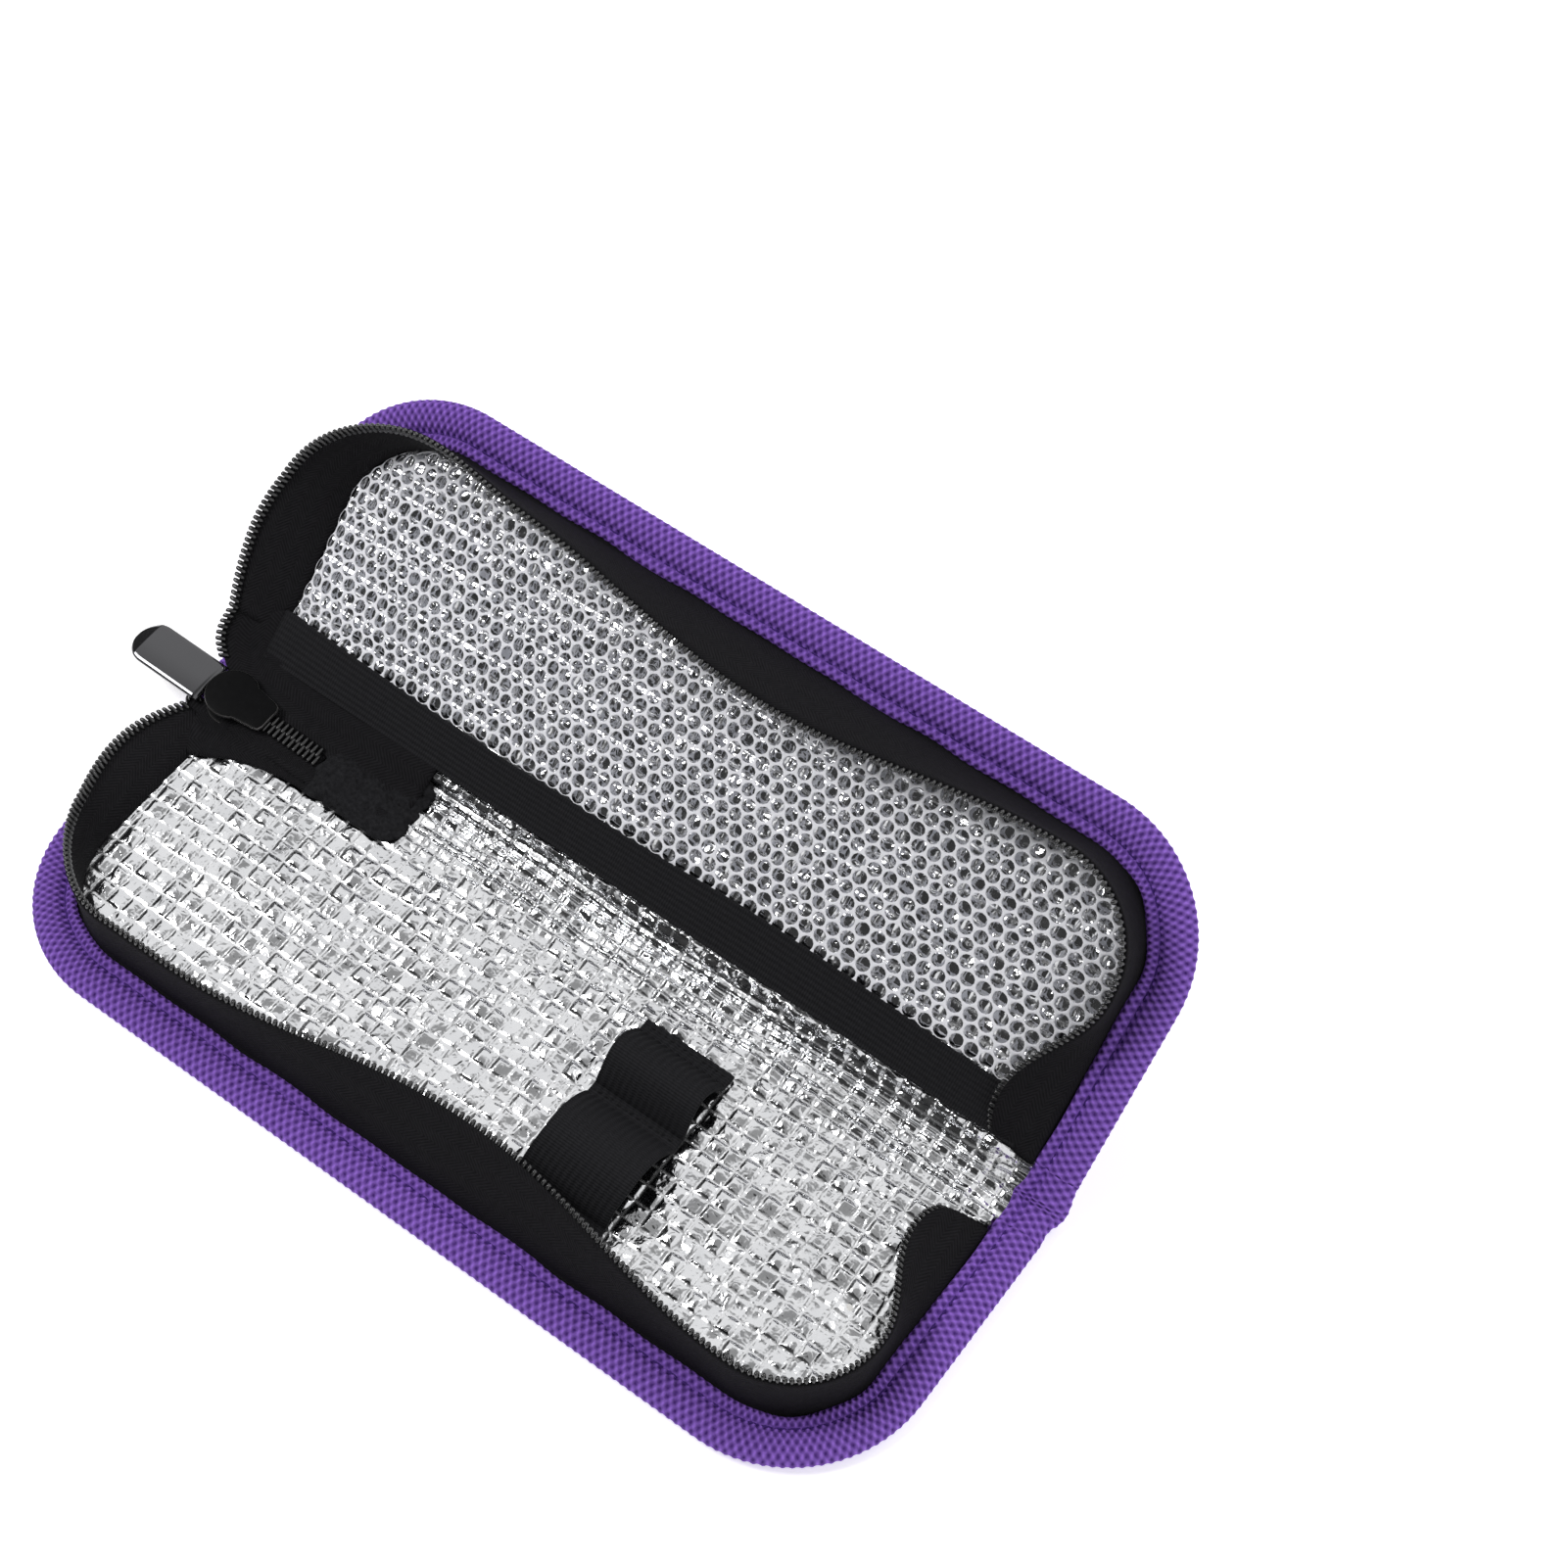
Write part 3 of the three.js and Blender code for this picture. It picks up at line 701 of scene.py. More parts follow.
class Draft:
    """Vertices, faces and cloth coordinates of a piece being made."""

    def __init__(self) -> None:
        """Starts empty."""
        self.points: list[Array] = []
        self.cloth: list[Array] = []
        self.faces: list[tuple] = []
        self.count = 0

    def add(self, points: Array, faces: Sequence[Sequence[int]], cloth: Optional[Array] = None) -> None:
        """Adds vertices and faces.

        Args:
            points: Rows of x, y and z, in millimetres.
            faces: Vertex numbers, counted from this addition's first vertex.
            cloth: Rows of cloth coordinates, or none.
        """
        flat = np.asarray(points, float).reshape(-1, 3)
        self.points.append(flat)
        given = np.zeros((len(flat), 2)) if cloth is None else np.asarray(cloth, float).reshape(-1, 2)
        self.cloth.append(given)
        self.faces.extend(tuple(i + self.count for i in face) for face in faces)
        self.count += len(flat)

    def loft(self, rings: Array, cloth: Optional[Array] = None, flip: bool = False) -> None:
        """Adds a skin over closed rings, with both ends filled.

        Args:
            rings: Array of rings, points and coordinates.
            cloth: Cloth coordinates of the same rings and points.
            flip: Whether the faces turn the other way.
        """
        count, size = rings.shape[:2]
        near = np.arange((count - 1) * size).reshape(count - 1, size)
        after = np.roll(near, -1, axis=1)
        faces = np.stack([near, after, after + size, near + size], -1).reshape(-1, 4).tolist()
        faces.append(list(reversed(range(size))))
        faces.append(list(range((count - 1) * size, count * size)))
        if flip:
            faces = [face[::-1] for face in faces]
        self.add(rings, faces, cloth)

    def slab(self, top: Array, bottom: Array, cloth: Array) -> None:
        """Adds a closed slab from a grid of top points and a matching grid of bottom points.

        Args:
            top: Grid of rows, columns and coordinates.
            bottom: The same for the underside.
            cloth: Cloth coordinates of the grid.
        """
        under = top.shape[0] * top.shape[1]
        grid = np.arange(under).reshape(top.shape[:2])
        quads = np.stack([grid[:-1, :-1], grid[:-1, 1:], grid[1:, 1:], grid[1:, :-1]], -1).reshape(-1, 4)
        faces = np.stack([quads, quads[:, ::-1] + under], 1).reshape(-1, 4).tolist()
        rim = np.concatenate([grid[0, :-1], grid[:-1, -1], grid[-1, :0:-1], grid[:0:-1, 0]])
        after = np.roll(rim, -1)
        faces += np.stack([after, rim, rim + under, after + under], -1).tolist()
        points = np.concatenate([top.reshape(-1, 3), bottom.reshape(-1, 3)])
        self.add(points, faces, np.concatenate([cloth, cloth]))

    def stamp(self, form: Form, centre: Array, axes: Sequence[Array]) -> None:
        """Adds a copy of a small form at a centre, with its half sizes given as three vectors."""
        points, faces = form
        self.add(points @ np.stack(axes) + centre, faces)

    def make(self, name: str, finish: Finish) -> Piece:
        """Makes the object, shaded smooth, with its faces pointing out.

        Args:
            name: The piece's name.
            finish: How it looks.

        Returns:
            The new object.
        """
        mesh = bpy.data.meshes.new(name)
        mesh.from_pydata((np.concatenate(self.points) * MM).tolist(), [], self.faces)
        mesh.update()
        self._turn_out(mesh)
        attribute = mesh.attributes.new(CLOTH_ATTRIBUTE, "FLOAT_VECTOR", "POINT")
        cloth = np.concatenate(self.cloth)
        rows = np.column_stack([cloth, np.zeros(len(cloth))])
        attribute.data.foreach_set("vector", rows.astype(np.float32).ravel())
        mesh.materials.append(finish.paint())
        mesh.shade_smooth()
        made = bpy.data.objects.new(name, mesh)
        bpy.context.scene.collection.objects.link(made)
        return made

    def fit(self, name: str, finish: Finish, body: str, slot: str, *nodes: str) -> Piece:
        """Makes a piece that rides on one body.

        Args:
            name: The piece's name.
            finish: How it looks.
            body: The body it rides on.
            slot: The record's slot.
            nodes: CAD nodes that it replaces.

        Returns:
            The new object.
        """
        piece = self.make(name, finish)
        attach(piece, body)
        finish_piece(piece, slot, *nodes)
        return piece

    @staticmethod
    def _turn_out(mesh: bpy.types.Mesh) -> None:
        """Flips every face if the mesh encloses a negative volume."""
        mesh.calc_loop_triangles()
        corners = np.empty(len(mesh.loop_triangles) * 3, int)
        mesh.loop_triangles.foreach_get("vertices", corners)
        place = np.empty(len(mesh.vertices) * 3)
        mesh.vertices.foreach_get("co", place)
        a, b, c = np.moveaxis(place.reshape(-1, 3)[corners.reshape(-1, 3)], 1, 0)
        if float((a * np.cross(b, c)).sum()) < 0:
            mesh.flip_normals()


def capsule(sides: int, levels: int, square: float) -> Form:
    """Rounded bar that fills a box from -1 to 1, longest along its second axis.

    Args:
        sides: Points round each ring.
        levels: Rings between its tips.
        square: Power that squares off the ends; 1 is an ellipsoid.

    Returns:
        Points and faces.
    """
    points = [(0.0, -1.0, 0.0)]
    for level in range(levels):
        angle = math.pi * (level + 1) / (levels + 1) - math.pi / 2
        along = math.copysign(abs(math.sin(angle)) ** square, math.sin(angle))
        wide = abs(math.cos(angle)) ** square
        for side in range(sides):
            turn = 2 * math.pi * side / sides
            points.append((wide * math.cos(turn), along, wide * math.sin(turn)))
    points.append((0.0, 1.0, 0.0))
    last = len(points) - 1
    faces = []
    for side in range(sides):
        after = (side + 1) % sides
        faces.append((0, 1 + side, 1 + after))
        for level in range(levels - 1):
            near, far = 1 + level * sides, 1 + (level + 1) * sides
            faces.append((near + side, far + side, far + after, near + after))
        top = 1 + (levels - 1) * sides
        faces.append((last, top + after, top + side))
    return np.array(points), faces


TOOTH_FORM = capsule(8, 5, 0.6)
STITCH_FORM = capsule(6, 4, 0.8)
POST_FORM = capsule(12, 7, 0.35)
PIN_FORM = capsule(12, 7, 0.4)


@dataclass(frozen=True)
class Outline:
    """Rounded outline of one half, open at the fold."""

    length: float = 200.0
    depth: float = 69.0
    radius: float = 28.0

    def path(self, left: float, right: float, step: float) -> dict[str, Array]:
        """Stations round the three sewn edges.

        Args:
            left: Where the path starts, from the fold, at the left end.
            right: Where it stops at the right end.
            step: Spacing of the stations.

        Returns:
            Arrays x, v, nx, nv and the distance u along the edge.
        """
        half, radius = self.length / 2, self.radius
        corner_x, corner_v = half - radius, self.depth - radius
        quarter = radius * math.pi / 2
        runs = np.cumsum([0, corner_v - left, quarter, 2 * corner_x, quarter, corner_v - right])
        u = np.linspace(0, runs[-1], max(int(runs[-1] / step), 2) + 1)
        zones = [u < stop for stop in runs[1:5]]
        flat = np.zeros_like(u)
        bend_left, bend_right = (u - runs[1]) / radius, (u - runs[3]) / radius
        turns = [flat + math.pi, math.pi - bend_left, flat + math.pi / 2, math.pi / 2 - bend_right]
        turn = np.select(zones, turns, 0.0)
        nx, nv = np.cos(turn), np.sin(turn)
        along = [flat - half, -corner_x + radius * nx, -corner_x + u - runs[2], corner_x + radius * nx]
        away = [left + u, corner_v + radius * nv, flat + self.depth, corner_v + radius * nv]
        x = np.select(zones, along, half)
        v = np.select(zones, away, corner_v - (u - runs[4]))
        return {"x": x, "v": v, "nx": nx, "nv": nv, "u": u}

    def half_length(self, v: Array, inset: float) -> Array:
        """Half the outline's length at a distance from the fold, at an inset from the edge."""
        radius, centre = self.radius - inset, self.depth - self.radius
        past = np.clip(v - centre, 0, radius)
        return self.length / 2 - inset - radius + np.sqrt(radius**2 - past**2)

    def fade(self, x: Array, v: Array, inset: float, run: float) -> Array:
        """Ramp from 0 at an inset from the sewn edges to 1 at a run further in."""
        front = smoothstep(0, run, self.depth - inset - v)
        return front * smoothstep(0, run, self.half_length(v, inset) - np.abs(x))

    def grid(self, start: float, inset: float, step: float) -> tuple[Array, Array]:
        """Grid over the half, drawn in at the corners.

        Args:
            start: First row's distance from the fold.
            inset: Distance in from the edge.
            step: Spacing of the grid.

        Returns:
            Arrays of x and v, by row and column.
        """
        end = self.depth - inset
        rows = np.linspace(start, end, int((end - start) / step) + 1)
        share = np.linspace(-1, 1, int((self.length - 2 * inset) / step) + 1)
        x = self.half_length(rows, inset)[:, None] * share[None, :]
        return x, np.repeat(rows[:, None], len(share), 1)


def station_points(path: dict[str, Array], inset: float, out: Array, z: Array) -> Array:
    """Places section points on every station of a path.

    Args:
        path: Stations from Outline.path.
        inset: Distance of the section's zero line in from the edge.
        out: Outward reach of each point, by station and point.
        z: Height of each point, by station and point.

    Returns:
        Rings of x, v and z.
    """
    reach = np.asarray(out) - inset
    x = path["x"][:, None] + path["nx"][:, None] * reach
    v = path["v"][:, None] + path["nv"][:, None] * reach
    return np.stack([x, v, np.broadcast_to(z, x.shape)], -1)


def strip_ring(line: Array, thickness: float) -> Array:
    """Closed outlines of strips that follow lines of points in a plane.

    Args:
        line: Points by station, place along the line, and plane coordinates.
        thickness: The strip's thickness.

    Returns:
        Rings with twice as many points.
    """
    along = np.gradient(line, axis=1)
    along /= np.linalg.norm(along, axis=-1, keepdims=True)
    normal = np.stack([-along[..., 1], along[..., 0]], -1) * thickness / 2
    return np.concatenate([line + normal, (line - normal)[:, ::-1]], 1)


def curve_through(points: Sequence[Sequence[float]], count: int) -> Array:
    """Smooth curve through a few points.

    Args:
        points: Points it passes through.
        count: How many points to return.

    Returns:
        Points along the curve.
    """
    given = np.asarray(points, float)
    held = np.vstack([2 * given[0] - given[1], given, 2 * given[-1] - given[-2]])
    place = np.linspace(0, len(given) - 1, count)
    span = np.minimum(place.astype(int), len(given) - 2)
    t = (place - span)[:, None]
    a, b, c, d = (held[span + k] for k in range(4))
    return 0.5 * (2 * b + (c - a) * t + (2 * a - 5 * b + 4 * c - d) * t**2 + (3 * b - a - 3 * c + d) * t**3)


@dataclass(frozen=True)
class CoilTooth:
    """Half sizes of a coil tooth and how it stands on the tape's edge."""

    along: float = 0.5
    up: float = 1.15
    inward: float = 0.66
    stand: float = 0.5
    drop: float = 0.05

    def stamp_row(self, draft: Draft, edge: Array, below: Array, side: float) -> None:
        """Stamps teeth along a tape's edge.

        Args:
            draft: Where they go.
            edge: Points along the edge, in the row frame.
            below: Points of the tape just under the edge.
            side: Which face of the tape they stand on, 1 or -1.
        """
        run = run_along(edge)
        places = np.arange(TOOTH_PITCH / 2, run[-1], TOOTH_PITCH)
        spots, roots = points_at(places, run, edge), points_at(places, run, below)
        for spot, root, along in zip(spots, roots, np.gradient(spots, axis=0)):
            up = (spot - root) / np.linalg.norm(spot - root)
            along = along / np.linalg.norm(along)
            inward = side * np.cross(along, up)
            centre = spot + inward * self.stand - up * self.drop
            draft.stamp(TOOTH_FORM, centre, (along * self.along, up * self.up, inward * self.inward))


def declare_sheet(
    width: float, length: float, share: float = 1.0
) -> None:
    """Works out the area of cloth in a cut from its size and the share of it that is cloth, and keeps
    nothing.
    """
    flat = (width * MM, length * MM)
    share * flat[0] * flat[1]


def finish_piece(piece: Piece, slot: str, *nodes: str) -> None:
    """Says which record slot a piece is finished from and which nodes it stands for.

    Args:
        piece: The new piece.
        slot: The record's slot.
        nodes: CAD nodes that it replaces.
    """
    if nodes:
        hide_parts(*nodes)
    LOG.info("%s made for %s", piece.name, ", ".join(nodes) or slot)


# Sub-assemblies


@dataclass
class Panels:
    """Cover, foam and foil of both halves and the spine."""

    fold: Fold
    outline: Outline = Outline()
    cover_inset: float = 7.0
    cover_thickness: float = 1.7
    cover_step: float = 1.6
    binding_width: float = 8.5
    ripple_fade: float = 9.0
    ripple_length: float = 15.0
    ripple_stretch: float = 0.35
    ripple_height: dict[Half, float] = by_half(0.2, 0.8)
    ripple_edge: float = 0.25
    foam_bottom: float = 2.0
    foam_thickness: float = 1.7
    foam_inset: float = 9.8
    foam_edge: float = 0.55
    foam_crown: float = 0.3
    foam_fade: float = 8.0
    foam_step: float = 5.0
    foil_top: float = LINING_TOP
    foil_thickness: float = 0.4
    foil_slack: float = 0.6
    foil_settle: float = 0.35
    foil_fade: float = 4.0
    foil_edge_drop: float = 0.5
    foil_edge_share: float = 0.2
    foil_step: dict[Half, float] = by_half(0.6, 0.9)
    lining_inset: float = 9.3
    scrim_pitch: float = SCRIM_PITCH
    scrim_drift: float = 0.55
    scrim_bends: Pair = (21.0, 17.0)
    scrim_shift: int = 400
    cell_shifts: tuple[int, int, int] = (0, 5, 17)
    puff: Pair = (0.1, 0.42)
    tilt: float = 0.92
    tilt_round: float = 0.55
    ridge: float = 0.16
    ridge_sharp: float = 1.6
    ridge_slant: float = 0.4
    ridge_length: float = 3.6
    grain: float = 0.04
    grain_length: float = 1.6
    swell: float = 0.35
    swell_length: float = 16.0
    crease_height: float = 0.32
    crease_pitch: float = 2.4
    crease_length: float = 22.0
    crease_drift: float = 0.6
    crease_centre: float = 1.5
    crease_reach: float = 6.5
    spine_rows: int = 29
    spine_foil_inset: float = 7.7
    spine_pad_inset: float = 19.0
    spine_tuck: float = 2.0
    spine_tuck_run: Pair = (19.0, 9.0)
    spine_lip_run: Pair = (4.6, 7.0)
    spine_lip: float = 0.9
    spine_rags: tuple[Pair, ...] = ((0.9, 2.2), (0.5, 0.9))
    spine_share: float = 0.9
    spine_pad_share: float = 0.7
    spine_pad_step: float = 8.0
    spine_cover_step: float = 4.0

    def scrim(self, x: Array, v: Array) -> tuple[Array, Array]:
        """Place on the scrim's threads, which run a little out of true.

        Args:
            x: Place along the case.
            v: Distance from the fold.

        Returns:
            The same two, bent.
        """
        drift = Crumple(Seed.SCRIM)
        along, across = self.scrim_bends
        sideways = self.scrim_drift * drift.at(x + self.scrim_shift, v, across)
        return x + self.scrim_drift * drift.at(x, v, along), v + sideways

    def crinkle(self, x: Array, v: Array) -> Array:
        """Height of the pressed and folded film.

        Args:
            x: Place along the case.
            v: Distance from the fold, below 0 on the base side of the spine.

        Returns:
            Height, about 0.
        """
        noise = Crumple(Seed.FILM)
        x, v = self.scrim(x, v)
        column, row = (np.floor(at / self.scrim_pitch).astype(int) for at in (x, v))
        fx, fv = x / self.scrim_pitch - column, v / self.scrim_pitch - row
        puff, tip_x, tip_v = (noise.cell(column + far, row + 3 * far) for far in self.cell_shifts)
        pillow = np.sin(np.pi * fx) * np.sin(np.pi * fv)
        tilt = tip_x * (fx - 0.5) + tip_v * (fv - 0.5)
        ridge = 1 - np.abs(noise.at(x + self.ridge_slant * v, v, self.ridge_length)) * self.ridge_sharp
        wrinkle = ridge * self.ridge + noise.at(x, v, self.grain_length) * self.grain
        swell = noise.at(x, v, self.swell_length) * self.swell
        least, spread = self.puff
        tipped = tilt * pillow**self.tilt_round * self.tilt
        return pillow * (least + spread * puff) + tipped + wrinkle + swell

    def spine_creases(self, x: Array, v: Array) -> Array:
        """Height of the long folds that run beside the fold line.

        Args:
            x: Place along the case.
            v: Distance from the fold.

        Returns:
            Height, about 0.
        """
        drift = Crumple(Seed.SPINE_CREASE).at(x, 0 * v, self.crease_length) * self.crease_drift
        wave = np.sin((v + drift) * 2 * np.pi / self.crease_pitch)
        off = (np.abs(v) - self.crease_centre) / self.crease_reach
        return self.crease_height * wave * np.exp(-(off**2))

    def spine_film(self, x: Array, s: Array) -> Array:
        """Height of the spine's foil.

        Args:
            x: Place along the case.
            s: Distance from the middle of the bend.

        Returns:
            Height: creased, ragged at the lid's side and tucked in at both ends.
        """
        rag = Crumple(Seed.SPINE_LIP)
        tuck_from, tuck_to = (self.outline.length / 2 - run for run in self.spine_tuck_run)
        tuck = self.spine_tuck * smoothstep(tuck_from, tuck_to, np.abs(x))
        ragged = sum((height * rag.at(x, s, length) for height, length in self.spine_rags), self.spine_lip)
        lip = smoothstep(*self.spine_lip_run, s) * ragged
        rise = self.crinkle(x, s) + self.spine_creases(x, s) - self.foil_settle
        return rise * self.spine_share + lip - tuck

    def panel(
        self, half: Half, layer: str, x: Array, v: Array, top: Array, bottom: Array, cloth: Array,
        finish: Finish, slot: str, node: str,
    ) -> Piece:
        """Makes one layer of a half.

        Args:
            half: Which half.
            layer: End of the piece's name.
            x: Place along the case, by row and column.
            v: Distance from the fold.
            top: Height inside.
            bottom: Height outside.
            cloth: Cloth coordinates.
            finish: How it looks.
            slot: The record's slot.
            node: End of the node's name.

        Returns:
            The piece.
        """
        draft = Draft()
        draft.slab(self.fold.lay(half, x, v, top), self.fold.lay(half, x, v, bottom), cloth)
        side = half.value
        return draft.fit(f"{side}_{layer}", finish, side, slot, f"{side}_{node}")

    def stretch(self, inset: float) -> None:
        """Works out the size of a half's cloth up to an inset from the edge, through declare_sheet, which
        keeps nothing.
        """
        wide, deep = self.outline.length - 2 * inset, self.outline.depth - inset - self.fold.reach
        declare_sheet(wide, deep)

    def lining(self, half: Half) -> None:
        """Makes a half's crinkled foil.

        Args:
            half: Which half.
        """
        x, v = self.outline.grid(self.fold.reach, self.lining_inset, self.foil_step[half])
        signed = -v if half is Half.BASE else v
        edge = self.outline.fade(x, v, self.lining_inset, self.foil_fade)
        rise = self.crinkle(x, signed) + self.spine_creases(x, v) - self.foil_settle
        share = self.foil_edge_share + (1 - self.foil_edge_share) * edge
        top = self.foil_top + rise * share - self.foil_edge_drop * (1 - edge)
        bottom = self.foil_top - self.foil_thickness - self.foil_slack
        cloth = cloth_rows(*self.scrim(x, signed))
        piece = self.panel(
            half, "lining_foil", x, v, top, bottom, cloth, SCRIM_FOIL, "foil_lining", "foil_lining"
        )
        self.stretch(self.lining_inset)

    def cover(self, half: Half) -> None:
        """Makes a half's woven outer cover with its soft ripples.

        Args:
            half: Which half.
        """
        x, v = self.outline.grid(self.fold.reach, self.cover_inset, self.cover_step)
        ripple = Crumple(Seed[f"{half.name}_COVER"])
        inner = self.outline.fade(x, v, self.binding_width, self.ripple_fade)
        wave = ripple.at(x, self.ripple_stretch * v, self.ripple_length) * 0.5 + 0.5
        outer = (1 - inner) * self.ripple_edge + inner * wave * self.ripple_height[half]
        piece = self.panel(
            half, "outer_cover", x, v, self.cover_thickness, outer, cloth_rows(x, v), COVER_OXFORD,
            "cover_fabric", "cover",
        )
        self.stretch(self.cover_inset)

    def foam(self, half: Half) -> None:
        """Makes a half's foam pad, crowned a little towards its middle.

        Args:
            half: Which half.
        """
        x, v = self.outline.grid(self.fold.reach, self.foam_inset, self.foam_step)
        edge = smoothstep(0, self.foam_fade, self.outline.depth - self.lining_inset - v)
        top = self.foam_bottom + self.foam_thickness * (self.foam_edge + self.foam_crown * edge)
        piece = self.panel(
            half, "panel_foam", x, v, top, self.foam_bottom, cloth_rows(x, v), PANEL_FOAM, "foam", "foam"
        )

    def spine_sheet(
        self, name: str, inset: float, low: float, high: float, step: float, finish: Finish,
        rise: Optional[Callable[[Array, Array], Array]] = None,
    ) -> Piece:
        """Makes one layer that wraps the spine.

        Args:
            name: The piece's name.
            inset: Distance of the layer's ends in from the case's.
            low: Height of its outer face.
            high: Height of its inner face.
            step: Spacing of its grid along the case.
            finish: How it looks.
            rise: Function of x and distance that lifts the inner face, if it isn't smooth.

        Returns:
            The piece.
        """
        half_length = self.outline.length / 2 - inset
        x = np.linspace(-half_length, half_length, int(2 * half_length / step) + 1)
        grid_s, grid_x = np.meshgrid(self.fold.strip(self.spine_rows), x, indexing="ij")
        flat = grid_s - self.fold.arc / 2
        inner = np.full_like(grid_x, high)
        if rise is not None:
            inner += rise(grid_x, flat)
        outer = np.minimum(low, inner - self.foil_thickness)
        draft = Draft()
        draft.slab(
            self.fold.over(grid_x, grid_s, inner),
            self.fold.over(grid_x, grid_s, outer),
            cloth_rows(*self.scrim(grid_x, flat)),
        )
        piece = draft.make(name, finish)
        self.fold.wrap(piece)
        return piece

    def build(self) -> None:
        """Makes every layer of the panels and the spine."""
        for half in Half:
            self.cover(half)
            self.foam(half)
            self.lining(half)
        wide = self.fold.arc + 2 * self.fold.reach
        shell = self.spine_sheet(
            "spine_outer_cover", self.cover_inset, 0.0, self.cover_thickness, self.spine_cover_step,
            COVER_OXFORD,
        )
        finish_piece(shell, "cover_fabric", "spine_cover")
        declare_sheet(wide, self.outline.length - 2 * self.cover_inset)
        top = self.foam_bottom + self.foam_thickness * self.spine_pad_share
        pad = self.spine_sheet(
            "spine_pad", self.spine_pad_inset, self.foam_bottom, top, self.spine_pad_step, PANEL_FOAM
        )
        finish_piece(pad, "foam", "spine_foam")
        low = self.foil_top - self.foil_thickness - self.foil_slack
        film = self.spine_sheet(
            "spine_lining", self.spine_foil_inset, low, self.foil_top, self.foil_step[Half.BASE],
            SCRIM_FOIL, self.spine_film,
        )
        finish_piece(film, "foil_lining", "spine_foil_lining")
        declare_sheet(wide, self.outline.length - 2 * self.spine_foil_inset)


@dataclass
class Binding:
    """Folded tape sewn round the edges, with its stitches."""

    fold: Fold
    outline: Outline = Outline()
    width: float = 8.6
    height: float = 3.9
    crown: float = 4.1
    crown_fall: float = 0.3
    inner_roll: float = 0.9
    inner_drop: float = 0.7
    tape: float = 0.75
    nose: float = 3.2
    hollow_nose: float = 1.6
    hollow_top: float = 2.8
    groove_at: float = 6.2
    groove: float = 0.95
    groove_width: float = 0.9
    rib: float = BINDING_RIB
    row: float = BINDING_ROW
    weave_depth: float = 0.34
    weave_run: Pair = (0.2, 1.0)
    flat_points: int = 22
    roll_points: int = 26
    under_points: int = 10
    rib_stations: int = 5
    spine_stations: int = 60
    bulges: tuple[Triple, ...] = ((0.7, 3.4, 5.2), (-0.35, -1.8, 3.2))
    bulge_inset: float = 5.0
    bunch_reach: float = 4.5
    bunch_rise: float = 0.7
    bunch_spread: float = 0.08
    bunch_inset: float = 3.0
    ease: float = 0.25
    ease_length: float = 5.3
    ease_swell: float = 17.0
    ease_start: float = 0.6
    lift_shift: float = 40.0
    lift_share: float = 0.5
    pucker: float = 0.14
    pucker_length: float = 2.9
    stitch_pitch: float = 3.1
    stitch_start: float = 2.0
    stitch_sizes: Triple = (0.28, 1.15, 0.24)
    stitch_proud: float = 0.22

    def section(self) -> tuple[Array, Array, Array, Array]:
        """Section of the tape: an inner ridge, the sewn groove, a rounded outer roll and the hollow.

        Returns:
            Distance in from the edge, height, distance round the tape, and whether it is outside.
        """
        flat = np.linspace(self.width, self.nose, self.flat_points)[:-1]
        top = self.crown - self.crown_fall * ((flat - self.nose) / (self.width - self.nose)) ** 2
        top -= self.groove * np.exp(-(((flat - self.groove_at) / self.groove_width) ** 2))
        top -= self.inner_drop * smoothstep(self.width - self.inner_roll, self.width, flat)
        turn = np.linspace(0, math.pi, self.roll_points)
        under = np.linspace(self.nose, self.width, self.under_points)[1:]
        inset = np.concatenate([flat, self.nose - self.nose * np.sin(turn), under])
        z = np.concatenate([top, self.crown / 2 + self.crown / 2 * np.cos(turn), 0 * under])
        run = run_along(np.stack([inset, z], -1))
        hollow_in = [self.width, self.hollow_nose, self.hollow_nose, self.width]
        hollow_z = [self.tape, self.tape, self.hollow_top, self.hollow_top]
        return (
            np.concatenate([inset, hollow_in]),
            np.concatenate([z, hollow_z]),
            np.concatenate([run, np.full(len(hollow_z), run[-1])]),
            np.arange(len(z) + len(hollow_z)) < len(z),
        )

    def woven(self, u: Array) -> tuple[Array, Array, Array]:
        """Section at each place along the tape, raised by its weave, whose bumps are set like bricks.

        Args:
            u: Distances along the tape.

        Returns:
            Distance in from the edge, height, and distance round the tape, by place and point.
        """
        inset, z, run, outside = self.section()
        along_in, along_z = np.gradient(inset), np.gradient(z)
        size = np.hypot(along_in, along_z) + 1e-9
        bricks = np.sin(u[:, None] * 2 * np.pi / self.rib) * np.sin(run * np.pi / self.row) * 0.5 + 0.5
        height = bricks * self.weave_depth * smoothstep(*self.weave_run, z) * outside
        out, up = along_z / size * height, along_in / size * height
        return inset + out, z - up, np.broadcast_to(run, height.shape)

    def waviness(self, u: Array) -> Array:
        """Small ease in the sewn edge."""
        eased = self.ease * np.sin(u / self.ease_length) * np.sin(u / self.ease_swell + self.ease_start)
        return eased + self.pucker * np.sin(u / self.pucker_length)

    def edge(self, half: Half) -> None:
        """Makes the binding round one half.

        Args:
            half: Which half.
        """
        path = self.outline.path(self.fold.reach, self.fold.reach, self.rib / self.rib_stations)
        inset, z, run = self.woven(path["u"])
        inner = (inset / self.width) ** 2
        ease = self.waviness(path["u"])[:, None] * inner
        lift = self.waviness(path["u"] + self.lift_shift)[:, None] * self.lift_share
        lift = (z > self.height / 2) * lift * inner
        points = station_points(path, 0, ease - inset, z + lift)
        draft = Draft()
        draft.loft(self.fold.place(half, points), cloth_rows(path["u"][:, None], run))
        side = half.value
        draft.fit(f"{side}_edge_binding", BINDING_TAPE, side, "binding_tape", f"{side}_binding")

